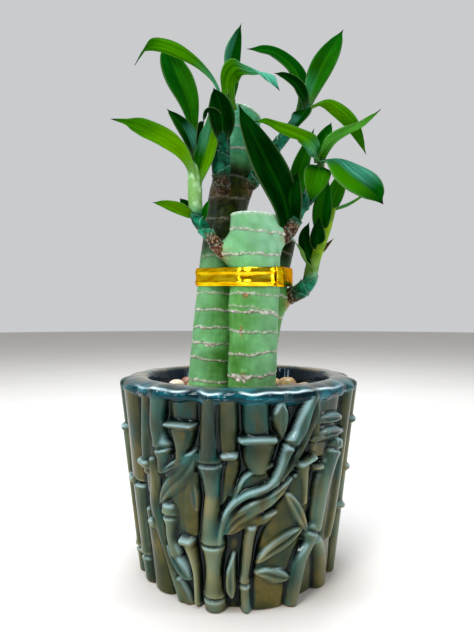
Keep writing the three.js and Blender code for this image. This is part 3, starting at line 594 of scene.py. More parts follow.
def blurred(field, width):
    """A Gaussian blur of the map, endless round the wall and mirrored past its top and bottom."""
    tall = np.vstack([field, field[::-1]])
    rate_z = np.fft.fftfreq(tall.shape[0], MAP_STEP)[:, None]
    rate_angle = np.fft.fftfreq(tall.shape[1], MAP_STEP * PER_DEGREE)
    kept = np.exp(-2 * np.pi ** 2 * width ** 2 * (rate_z ** 2 + rate_angle ** 2))
    return np.fft.ifft2(np.fft.fft2(tall) * kept).real[:len(field)]


def relief_maps():
    """Maps of the relief's height and of its teal glaze: at each place the highest stroke wins. A node
    is a swelling with a groove round its middle, and the teal is stronger to one side of each stroke,
    partly as thicker glaze and partly as a painted reflection of cool light on that side."""
    angle, z = np.meshgrid(MAP_ANGLES, MAP_HEIGHTS)
    height, teal = np.zeros_like(z), np.zeros_like(z)
    kinds = [(PANELS, knob_section), (CULMS, culm_section), (RELIEF_LEAVES, leaf_section),
             (KNOBS, knob_section)]
    for section, tall, glaze, points, *nodes in [(section, *stroke) for strokes, section in kinds
                                                 for stroke in strokes]:
        path = spline(points, 40)
        widest = path[:, 2].max()
        pad = np.array([(widest + 1) / PER_DEGREE, widest + 1])
        low, high = path[:, :2].min(0) - pad, path[:, :2].max(0) + pad
        for turn in (-180, 0, 180):
            near = (angle - turn > low[0]) & (angle - turn < high[0]) & (z > low[1]) & (z < high[1])
            if not near.any():
                continue
            ratio, away, reached = nearest(angle[near] - turn, z[near], path)
            raised = tall * section(ratio, away)
            for node in nodes:
                raised *= 1 + SWELLING * bell(reached - node, 2.4) - GROOVE * bell(reached - node, 0.55)
            top = raised > height[near]
            height[near] = np.where(top, raised, height[near])
            # Stronger teal to one side of the stroke: partly thicker glaze, partly a painted reflection of
            # cool light.
            glazed = np.clip(glaze * (1.15 - 0.35 * away / np.maximum(widest, 1)), 0, 1)
            teal[near] = np.where(top, glazed * (ratio < 1), teal[near])
    return RELIEF_GAIN * blurred(height, RELIEF_BLUR), blurred(teal, TEAL_BLUR)


def glaze_maps(relief):
    """Where the colour changes, from how far the relief stands over its own blurred self: pooled glaze
    with painted shade over it in hollows, thick glaze with painted shade beside ridges, a painted
    reflection of dark surroundings on steep tops, thin glaze with a painted sheen over edges and proud
    stems, and a painted highlight along gentle ledges that face up."""
    over_edge, over_ridge, over_culm = (relief - blurred(relief, width) for width in (0.6, 1.1, 3.2))
    slope = -np.gradient(blurred(relief, 0.5), MAP_STEP, axis=0)
    # The first two maps hold painted shade over the glaze's own colour, the third a painted sheen over thin
    # glaze, the last a painted highlight.
    return {
        "pool": rise(blurred(relief, 2.2) - relief, 0.35, 0.85),
        "deep": np.maximum(rise(-over_ridge, 0.12, 0.54), 0.8 * smoothstep(slope, 1.6, 2.8)),
        "edge": np.maximum(rise(over_edge, 0.1, 0.4), 0.9 * rise(over_culm, 0.4, 2.0)),
        "ledge": (smoothstep(slope, 0.25, 0.7) * (1 - smoothstep(slope, 1.7, 2.8))
                  * smoothstep(over_ridge, 0.05, 0.4)),
    }


def read_map(field, angle, z):
    """Reads a map at any angle and height, between its points."""
    column = ((angle + 90) % 180) / MAP_STEP
    row = np.clip(z / MAP_STEP, 0, len(MAP_HEIGHTS) - 1.001)
    c, r = np.floor(column).astype(int), np.floor(row).astype(int)
    right, up = column - c, row - r
    c, after = c % len(MAP_ANGLES), (c + 1) % len(MAP_ANGLES)
    low = field[r, c] * (1 - right) + field[r, after] * right
    high = field[r + 1, c] * (1 - right) + field[r + 1, after] * right
    return low * (1 - up) + high * up


# The pot's profile besides its wall: the foot as (radius, or None for the wall's own; inset; z), the
# lip as (share of the way from the mouth to the brim, z), and the inside as (radius, z).
FOOT = [(15, 0.0, 0), (30, 0.0, 0), (None, 1.6, 0.0), (None, 0.6, 0.12), (None, 0.15, 0.5)]
LIP = [(1, BRIM_Z), (0.985, 94.4), (0.91, 95.5), (0.7, 96.5), (0.45, 97), (0.22, 97), (0.07, 96), (0, 93.8)]
INSIDE = [(MOUTH_RADIUS, 93.8), (45.4, 88), (44, 70), (41, 30), (38, 10), (35, 7.1), (20, 7)]


def pot():
    """The wall's radius is its plain cone plus the relief; the rim is a rolled bulge laid over that with
    a fillet, swollen where culms meet it; then come the lip, which wavers up and down, the plain inside
    and its floor. The rim's glaze drips down and lies lighter at the pot's sides."""
    relief, teal_map = relief_maps()
    angle = np.concatenate([np.linspace(-FRONT, FRONT, FRONT_COLUMNS, endpoint=False),
                            np.linspace(FRONT, 360 - FRONT, BACK_COLUMNS, endpoint=False)])[None, :]
    turn, flat = np.radians(angle), 0 * angle
    circle = np.stack([np.sin(turn), np.cos(turn)], -1) * UNEVEN_RADIUS
    drip, waver = ripple(circle, 15, 3), ripple(circle, 12, 4)

    wall_z = np.concatenate([[1.2], np.linspace(1.8, BRIM_Z, WALL_ROWS)])[:, None]
    wall_r = ground(wall_z) + read_map(relief, angle, np.minimum(wall_z, RELIEF_Z) + flat)
    brim = BRIM_RADIUS + 0.36 * read_map(blurred(relief, 0.7), angle, 91.0 + flat) + 0.28 * waver
    roll_height = 2.3 + 1.2 * drip
    roll = brim - 1.6 * ((BRIM_Z - wall_z) / roll_height) ** 4
    under_rim = smoothstep(roll - wall_r, -0.9, 0.4)
    wall_r = soft_max(wall_r, roll, 0.5) - 0.12

    share, lip_z = np.hsplit(spline(LIP, LIP_ROWS)[1:], 2)
    lip_z = lip_z + flat + share ** 2 * (0.6 * waver + 0.4 * drip)
    lip_r = MOUTH_RADIUS + share * (wall_r[-1] - MOUTH_RADIUS)
    lip_r = lip_r + 0.1 * ripple(np.broadcast_to(circle, (len(lip_z), *circle.shape[1:])), 4, 6)
    foot_r = np.stack([r + flat[0] if r else wall_r[0] - inset for r, inset, _ in FOOT])
    foot_z = np.array([z for *_, z in FOOT])[:, None] + flat
    inside_r, inside_z = np.hsplit(spline(INSIDE, INSIDE_ROWS)[1:], 2)

    radius = np.vstack([foot_r, wall_r, lip_r, inside_r + flat])
    height = np.vstack([foot_z, wall_z + flat, lip_z, inside_z + flat])
    rings = np.stack([radius * np.sin(turn), -radius * np.cos(turn), height], -1)

    part = np.repeat(np.arange(4), [len(foot_r), len(wall_r), len(lip_r), len(inside_r)])[:, None]
    on_lip = part == 2
    covered = np.vstack([0 * foot_r, under_rim, 1 + 0 * lip_r, 0 * inside_r + flat])
    across_lip = np.vstack([0 * foot_r, 0 * wall_r, share + flat, 0 * inside_r + flat])
    wall = (part == 1) * (1 - covered)
    # These maps carry painted shade in the hollows and beside ridges, a painted sheen on edges and a painted
    # highlight on ledges, over the glaze's own colour.
    teal, deep, pool, edge, ledge = (
        read_map(field, angle, np.clip(height, 0, RELIEF_Z)) for field in (
            teal_map, *(glaze_maps(relief)[name] for name in ("deep", "pool", "edge", "ledge"))))
    teal = np.maximum(teal, 0.7 * smoothstep(height + 9 * drip, 82, 97)) * (part == 1)
    # Darker towards the rim: partly thicker glaze, partly painted shade under the rim's roll.
    deep = np.maximum(deep, 0.36 * smoothstep(height + 5 * drip, 40, 82))
    # The pale edges, partly thin glaze and partly a painted sheen, are strongest towards the foot.
    edge = edge * (0.72 - 0.5 * smoothstep(height, 40, 80)) * (1 - 0.65 * teal)
    rim = covered * np.where(on_lip, smoothstep(across_lip, 0.1, 0.8), 1.0)
    rim = rim * (0.4 + 0.6 * smoothstep(np.abs(np.cos(turn)) + 0.1 * drip, 0.15, 0.6))
    # A painted highlight along the rim's crest, broken by the drips and kept to the front and the back.
    crest = on_lip * bell(height - 95.5 - 0.6 * waver, 0.34) * np.clip(0.8 + 1.1 * drip, 0, 0.9)
    crest = crest * smoothstep(across_lip, 0.3, 0.6) * smoothstep(np.cos(turn) ** 2, 0.2, 0.6)
    worn = on_lip * (1 - smoothstep(across_lip, 0.35, 0.97)) * np.clip(0.75 - 0.5 * np.cos(turn), 0, 1)
    inside = np.maximum(part == 3, on_lip * (1 - smoothstep(across_lip, 0.02, 0.16)))
    mesh = skin("pot", rings, teal=teal, deep=deep * wall, pool=pool * wall, edge=edge * wall,
                ledge=0.6 * ledge * wall, rim=rim, crest=crest, worn=worn, inside=inside, bare=height < 0.2)
    piece("pot_glazed", mesh, glazed_stoneware(), "glaze", "pot")


# ---- canes ----------------------------------------------------------------------------

CANE_FOOT = 22
SOIL = 80          # below this a cane is buried, and its mesh is coarse
# Each cane: its path, its radii, how its cut slopes towards +X, the direction in degrees from +X of
# the side where its pale bloom is strongest, which is partly real and partly painted light, and how
# strong that is, its leaf scars as (z, rise towards the right, raggedness, strength), its bosses as
# (direction, z, how far it stands out, spread round in degrees and up in mm, bark), torn patches as
# (direction, top z, half width in degrees, depth), the heights between which it is olive, partly as
# painted shadow under the leaves, and the height above which it is teal, partly as painted light.
CANES = {
    "front": dict(
        path=[(6.4, -10, CANE_FOOT), (6.7, -10, 90), (8, -10, 140), (8.6, -10, 160), (8.8, -10, 176)],
        radii=[11.5, 11.5, 12.2, 12.6, 12.6], slope=-0.06, seed=20, waxy=-20, wax=0.38,
        rings=[(88, 0, 1, 1), (98, 1.2, 1.5, 1.1), (109, 1, 0.8, 1), (119.3, -0.4, 0.7, 0.9),
               (128.6, -0.8, 1, 1.1), (130.6, -1.6, 0.8, 0.5), (137.5, 0, 0.6, 0.6), (157.2, 0.6, 1, 0.9),
               (168.4, -1, 0.9, 0.9)],
        bosses=[(178, 158.5, 6.2, 30, 4.6, 0.9), (172, 163, 3.2, 34, 4.5, 0.1),
                (-6, 167.5, 4.6, 26, 4.2, 0.9), (-110, 137.4, 1.2, 7, 1.6, 1.2),
                (-112, 99.5, 0.8, 6, 1.4, 0.6), (-120, 120.5, 0.4, 4, 3.4, 1)],
        patches=[(-118, 98.6, 30, 3.6), (-62, 129.6, 26, 1.6)]),
    "left": dict(
        path=[(-19, 5, CANE_FOOT), (-15.5, 6.2, 90), (-10.8, 8, 141), (-5.2, 10.2, 190), (4.4, 11, 237)],
        radii=[11.4, 11.4, 11.4, 11.2, 8.6], slope=-0.26, seed=40, waxy=195, wax=0.3,
        rings=[(93, 0.4, 1, 1), (104.3, -0.2, 0.7, 1), (112.6, 0.2, 1.2, 1.2), (120.8, 0.3, 0.7, 1),
               (129.6, 0, 0.8, 1), (138.3, 0.3, 0.8, 0.7), (157.3, 0, 0.8, 0.5), (167, 0, 0.8, 0.5),
               (177.5, 0.4, 0.8, 0.7), (189, 0.6, 1.4, 0.6), (200, 0, 1, 0.5), (215, 0.5, 0.8, 0.9),
               (226.2, 0, 0.6, 0.6)],
        bosses=[(-115, 192, 2.6, 36, 5, 0.25), (-30, 196, 2.4, 32, 5, 0.2)],
        patches=[(-96, 112.8, 22, 2.2)], olive=(158, 207), teal=210),
    "right": dict(
        path=[(2.5, 14.5, CANE_FOOT), (7.5, 14.2, 90), (11.6, 15, 116), (18.8, 15.6, 160),
              (20.4, 15.6, 169)],
        radii=[10.8, 11, 11, 11, 11], slope=0.05, seed=60, waxy=180, wax=0.4,
        rings=[(92, 0, 0.8, 1), (103, 0.4, 0.9, 1), (115, -0.3, 1.2, 0.9), (127, 0.2, 0.8, 1),
               (139, 0, 0.7, 0.8), (151, 0.4, 0.9, 0.9), (162, 0, 0.8, 0.8)],
        bosses=[(-8, 137, 3, 28, 4.5, 0.9)], patches=[(120, 115, 24, 2.4)], olive=(154, 176)),
}
CANE_COLUMNS, CANE_STEP = 132, 0.5      # points round a cane, and millimetres between its rings
# The cut: share of the radius kept, and lift over the skin's end, from the dry callus to the middle.
CUT_ROWS = [(1.018, 0.3), (1.012, 0.8), (0.975, 1.15), (0.93, 1.0), (0.87, 0.75), (0.78, 0.7), (0.66, 0.75),
            (0.52, 0.6), (0.38, 0.66), (0.24, 0.6), (0.1, 0.62)]
CALLUS_ROWS = 4
CANE_SAMPLES = 400                      # points of a cane's path when one height is looked for on it


def turned_to(theta, degrees):
    """The angle between each direction round a stem and one direction, in degrees from -180 to 180."""
    return (np.degrees(theta) - degrees + 180) % 360 - 180


def cane(name):
    """A stem round a path. Its radius is the cane's own, uneven, with a lip, a groove and a slight
    barrel at each leaf scar, a torn roughness in each patch, and a swelling wherever a shoot breaks
    out. Its end is cut on a slope, inside a ring of callus."""
    spec = CANES[name]
    length = spec["path"][-1][2] - CANE_FOOT
    buried = np.linspace(0, (SOIL - CANE_FOOT) / length, 6, endpoint=False)
    rows = int((length + CANE_FOOT - SOIL) / CANE_STEP)
    t = np.concatenate([buried, np.linspace(buried[-1] + 0.02, 1, rows)])
    centre = spline(spec["path"], t)
    theta, around, forward = around_stem(centre, np.array([1.0, 0, 0]), CANE_COLUMNS)
    radius = along(spec["radii"], t)[:, None] + 0 * theta
    z = centre[:, 2:] + 0 * theta
    on_skin = centre[:, None] + around * radius[..., None]
    seed = spec["seed"]
    radius = radius + 0.35 * ripple(on_skin, 24, seed) + 0.06 * ripple(on_skin, 3, seed + 1)

    scar, dark, wood = (np.zeros_like(z) for _ in range(3))
    ragged, jagged = ripple(on_skin, 6, seed + 2), ripple(on_skin, 1.7, seed + 3)
    for i, (ring_z, lean, rag, strength) in enumerate(spec["rings"]):
        level = ring_z + lean * np.cos(theta) + rag * (0.6 * ragged + 0.22 * jagged)
        off = z - (level + 0.4 * np.sin(2 * theta + i))
        width = np.clip(0.48 + 0.22 * ripple(on_skin, 5, seed + 5 + i), 0.22, 1)
        lip = bell(off, width)
        radius += strength * (0.24 * lip - 0.2 * bell(off + 0.9, 0.4) + 0.1 * bell(off - 2.5, 2.5))
        scar = np.maximum(scar, strength * lip * np.clip(0.9 + 0.5 * jagged, 0, 1))
        # Dark lines just below and above each scar's lip: partly cracks, partly painted shadow.
        crack = (np.clip(0.75 + 0.7 * jagged, 0, 1) * bell(off + 0.62, 0.24)
                 + np.clip(0.35 - 1.1 * jagged, 0, 1) * bell(off - 0.55, 0.2))
        dark = np.maximum(dark, strength * 0.85 * crack)
    for direction, top, half_width, depth in spec["patches"]:
        off_angle = turned_to(theta, direction) / half_width
        low = top - depth * np.clip(1 - off_angle ** 2, 0, 1) * (1 + 0.35 * jagged)
        torn = smoothstep(z, low - 0.3, low + 0.3) * (1 - smoothstep(z, top - 0.3, top + 0.4))
        torn = torn * (np.abs(off_angle) < 1)
        scar = np.maximum(scar, torn * np.clip(0.75 + 0.6 * jagged, 0, 1))
        dark = np.maximum(dark, torn * np.clip(-1.1 * jagged - 0.1, 0, 1))
        radius += torn * (0.12 + 0.2 * jagged)
    for direction, at, out, spread, reach, bark in spec["bosses"]:
        off_angle, off = turned_to(theta, direction), z - at
        hump = bell(off_angle, spread) * bell(off, np.where(off < 0, reach * 1.25, reach))
        radius += out * hump * (1 + 0.14 * hump * jagged)
        corky = bell(off_angle, spread * 0.8) * bell(off + 0.3 * reach, reach * 0.7)
        wood = np.maximum(wood, bark * corky)

    # An olive band, partly painted shadow under the leaves, and a teal top, partly painted light.
    olive, teal = 0 * z, 0 * z
    if "olive" in spec:
        low, high = spec["olive"]
        olive = smoothstep(z, low - 10, low + 8) * (1 - smoothstep(z, high - 4, high + 6))
    if "teal" in spec:
        teal = 0.8 * smoothstep(z, spec["teal"] - 5, spec["teal"] + 6)
    end = z.max()
    near_cut = bell(z - end, 0.55)
    # The pale bloom is stronger on one side, which is painted light, and it also grows towards the top.
    waxy_side = spec["wax"] * smoothstep(np.cos(theta - np.radians(spec["waxy"])), -0.3, 0.9)
    bloom = (waxy_side + 0.45 * smoothstep(z, end - 34, end - 10)) * np.clip(0.85 + 0.25 * ragged, 0, 1)
    scar = np.maximum(scar * (1 - 0.65 * olive), 0.3 * near_cut)

    slanted = spec["slope"] * radius * np.cos(theta) * smoothstep(z, end - 14, end)
    rings = centre[:, None] + around * radius[..., None] + forward[:, None] * slanted[..., None]
    grain = 0.06 * ripple(on_skin[-1], 1.1, seed + 9)
    cut = [centre[-1] + around[-1] * (radius[-1] * share)[:, None]
           + forward[-1] * (lift + slanted[-1] * share + grain)[:, None] for share, lift in CUT_ROWS]
    callus = (np.arange(len(CUT_ROWS)) < CALLUS_ROWS)[:, None] + 0 * theta

    def cut_too(field, over_cut=0):
        return np.vstack([field, over_cut + 0 * callus])

    scar, dark, wood = (np.clip(field, 0, 1) for field in (scar, dark, wood))
    return skin(f"cane_{name}", np.concatenate([rings, np.stack(cut)]), scar=cut_too(scar, 0.4 * callus),
                dark=cut_too(dark), wood=cut_too(wood), olive=cut_too(olive), teal=cut_too(teal),
                bloom=cut_too(np.maximum(bloom, 0.9 * near_cut), callus), cut=cut_too(0 * z, 1 - callus))


# ---- ribbon ---------------------------------------------------------------------------

# middle is the height of its middle over the Y axis, which goes up by rise for each millimetre to the
# back; gap is its distance from the canes. The overlap lies right of right, from front to back.
RIBBON = {"middle": 147.3, "height": 9.4, "thickness": 0.8, "rise": 0.068, "gap": 0.3}
OVERLAP = {"right": 15, "front": -19.5, "back": 8, "proud": 0.4, "lift": 0.45}


def hull(points):
    """The convex outline round a set of points, anticlockwise from the leftmost."""
    ordered = sorted(map(tuple, points))

    def half(run):
        kept = []
        for p in run:
            while len(kept) > 1 and ((kept[-1][0] - kept[-2][0]) * (p[1] - kept[-2][1])
                                     - (kept[-1][1] - kept[-2][1]) * (p[0] - kept[-2][0])) <= 0:
                kept.pop()
            kept.append(p)
        return kept[:-1]

    return np.array(half(ordered) + half(ordered[::-1]))


def ribbon_line(count=420):
    """The line that the ribbon follows: the tight outline of the canes, read at even steps, with the
    direction outwards at each point."""
    turn = turns(72)[0]
    circles = []
    for spec in CANES.values():
        centre = spline(spec["path"], CANE_SAMPLES)
        middle = RIBBON["middle"] + RIBBON["rise"] * centre[:, 1]
        for end in (-0.5, 0.5):
            i = np.argmax(centre[:, 2] >= middle + end * RIBBON["height"])
            radius = along(spec["radii"], i / CANE_SAMPLES) + RIBBON["gap"]
            circles.append(centre[i, :2] + radius * np.stack([np.cos(turn), np.sin(turn)], -1))
    outline = hull(np.concatenate(circles))
    closed = np.vstack([outline, outline[:1]])
    line = read_line(closed, np.linspace(0, lengths(closed)[-1], count, endpoint=False))
    tangent = unit(np.roll(line, -1, axis=0) - np.roll(line, 1, axis=0))
    for _ in range(3):
        tangent = unit(np.roll(tangent, 1, axis=0) + tangent + np.roll(tangent, -1, axis=0))
    return line, np.stack([tangent[:, 1], -tangent[:, 0]], -1)


def strip_section(up, face, height):
    """A strip's section as (out, up) points: up its face, and down its flat back."""
    back = np.stack([0 * up, up * height * 0.99], -1)
    return np.concatenate([np.stack([face, up * height], -1), back[::-1]])


def ribbon_rings(line, out, section, dent, lift):
    """Places a section at every point of the line; dent moves its face, and lift all of it, outwards."""
    away = section[None, :, 0] + np.where(section[None, :, 0] > 0.3, dent[:, None], 0) + lift
    middle = RIBBON["middle"] + RIBBON["rise"] * line[:, 1]
    up = middle[:, None] + section[None, :, 1] + 0.12 * ripple(line, 19, 72)[:, None]
    flat = line[:, None] + out[:, None] * away[..., None]
    return np.concatenate([flat, up[..., None]], -1)


def ribbon():
    """A rounded strip with two moulded ridges and small dents, carried round the outline. The last ring
    meets the first, so there are no ends to close."""
    line, out = ribbon_line()
    up = np.linspace(-0.5, 0.5, 22)
    ridges = 0.42 * bell(up - 0.27, 0.075) + 0.42 * bell(up + 0.27, 0.075) - 0.1 * bell(up, 0.12)
    face = RIBBON["thickness"] + ridges - 0.35 * (np.abs(up) * 2) ** 12
    section = strip_section(up, face, RIBBON["height"])
    rings = ribbon_rings(line, out, section, 0.18 * ripple(line, 13, 71), 0)
    index = np.arange(rings[..., 0].size).reshape(rings.shape[:2])
    after, ahead = np.roll(index, -1, axis=1), np.roll(index, -1, axis=0)
    quads = np.stack([index, ahead, np.roll(after, -1, axis=0), after], -1).reshape(-1, 4)
    return meshed("ribbon", rings.reshape(-1, 3), quads)


def ribbon_overlap():
    """The second layer that closes the ribbon: a flatter, wider strip over its right side."""
    line, out = ribbon_line()
    kept = (line[:, 0] > OVERLAP["right"]) & (line[:, 1] > OVERLAP["front"]) & (line[:, 1] < OVERLAP["back"])
    line, out = line[kept], out[kept]
    up = np.linspace(-0.5, 0.5, 12)
    section = strip_section(up, 0.8 - 0.3 * (np.abs(up) * 2) ** 10, RIBBON["height"] + OVERLAP["proud"])
    lift = RIBBON["thickness"] + OVERLAP["lift"]
    return skin("ribbon_overlap", ribbon_rings(line, out, section, 0.1 * ripple(line, 7, 75), lift)[::-1])


# ---- shoots ---------------------------------------------------------------------------

# Each shoot: its radii and path, the distances along it of its sheath rings, the stretch of it (from,
# to, as shares of its length) that is newest, and the share of it that is old and brown with bark.
# bleached and fresh say how pale and how yellow-green the newest stretch is, shaded how much painted shade
# darkens all of it.
SHOOTS = {
    "left": dict(
        radii=[4.4, 3.6, 3, 3, 3.3, 3.6, 3.6, 3, 1.8], rings=[13, 17.5, 22, 26, 30, 37],
        newest=(0.52, 0.9), bleached=0.8, old=0.3,
        path=[(-0.5, -10, 156), (-8.5, -12, 160), (-13, -13, 165), (-16.5, -13, 169.5), (-20, -12, 174.5),
              (-21.5, -11, 181), (-22, -10, 193), (-22.5, -9, 203.5), (-22.5, -8, 210)]),
    "middle": dict(
        radii=[3.5, 4.2, 4.8, 4.4, 3.6, 2.6, 1.6], rings=[10, 16, 24, 34, 43], shaded=0.6, old=0.25,
        path=[(-6.5, 4, 192), (-8.5, -4, 195), (-9, -8, 203.5), (-8.5, -9.5, 213), (-7.5, -10, 223),
              (-6, -8.5, 232.5), (-5, -7, 239.5)]),
    "right": dict(
        radii=[4, 4.4, 4, 3.8, 3.4, 3, 2.4, 1.6], rings=[14, 18.5, 23, 27.5, 33, 40],
        newest=(0.72, 0.95), bleached=0.8, shaded=0.5, old=0.36,
        path=[(12, -10, 164), (23.5, -12, 168), (27, -12, 174), (30, -12, 180.5), (35, -12, 186),
              (38.5, -12, 193.5), (40.5, -13, 200.5), (41, -14, 205.5)]),
    "upper": dict(
        radii=[3.2, 3.4, 3.8, 3.4, 3.2, 2.8, 2.2, 1.4], rings=[13, 18, 23, 29, 35, 42, 49],
        shaded=0.55, old=0.18,
        path=[(-1.5, 9, 195), (7, 4, 197.5), (12.5, 3, 206.5), (17.5, 2, 213.5), (23.5, 1, 220.5),
              (29.5, 1, 229), (35, 1, 235), (36.5, 1, 238.5)]),
    "rear": dict(
        radii=[4, 4.4, 4.2, 3.8, 3.6, 3.8, 3.6, 2.8, 1.6], rings=[11, 15, 19.5, 24, 29, 36, 44],
        newest=(0.42, 1.1), bleached=0.7, fresh=1, shaded=0.25, old=0.22,
        path=[(20, 15, 135), (28.5, 14, 138), (33.5, 12, 140.5), (38, 10, 145), (39.5, 8, 152),
              (40.5, 5, 159), (43, 3, 166.5), (46.5, 1, 175.5), (49.5, 0, 183.5)]),
}
SHOOT_COLUMNS, SHOOT_ROWS = 40, 170


def shoot(name):
    """A stem wrapped in leaf sheaths. Each sheath ends in an oblique edge that stands out a little, and
    the stem steps in above it; the edges lean left and right in turn."""
    spec = SHOOTS[name]
    t = np.linspace(0, 1, SHOOT_ROWS)
    path = spline(spec["path"], SHOOT_ROWS)
    theta, around, _ = around_stem(path, np.array([0, -1.0, 0]), SHOOT_COLUMNS)
    radius = along(spec["radii"], t)[:, None] + 0 * theta
    run = lengths(path)[:, None] + 0 * theta
    uneven = ripple(path[:, None] + around * radius[..., None], 2.2, 90)
    t = t[:, None]
    newest = 0 * t
    if "newest" in spec:
        low, high = spec["newest"]
        newest = smoothstep(t, low - 0.06, low + 0.06) * (1 - smoothstep(t, high - 0.05, high + 0.05))
    ring, dark = np.zeros_like(run), np.zeros_like(run)
    for i, at in enumerate(spec["rings"]):
        lean = (1 if i % 2 else -1) * (1.4 + 1.6 * (0.618 * i % 1)) * np.sin(theta)
        off = run - at - lean - 0.35 * uneven
        step = np.where(off < 0, 0.42 * np.exp(np.minimum(off, 0) / 1.9), 0) - 0.12 * bell(off - 0.6, 0.5)
        radius = radius + step * (1 - 0.75 * newest)
        ring = np.maximum(ring, bell(off + 0.1, 0.22) * np.clip(0.6 + 0.5 * uneven, 0.15, 0.9))
        # Painted shade just above each sheath edge, where the stem steps in under it.
        dark = np.maximum(dark, 0.8 * bell(off - 0.5, 0.45))
    radius = radius * (1 + 0.03 * uneven)
    # Painted shade over the whole shoot, as much as its shaded says.
    dark = np.maximum(dark * (1 - 0.8 * newest), spec.get("shaded", 0))
    return skin(
        f"shoot_{name}", path[:, None] + around * radius[..., None],
        ring=ring * (0.65 - 0.55 * newest), dark=dark, pale=newest * spec.get("bleached", 0),
        fresh=newest * spec.get("fresh", 0) * smoothstep(t, 0.4, 0.62),
        old=1 - smoothstep(t, spec["old"] - 0.06, spec["old"] + 0.04))


# ---- leaves ---------------------------------------------------------------------------

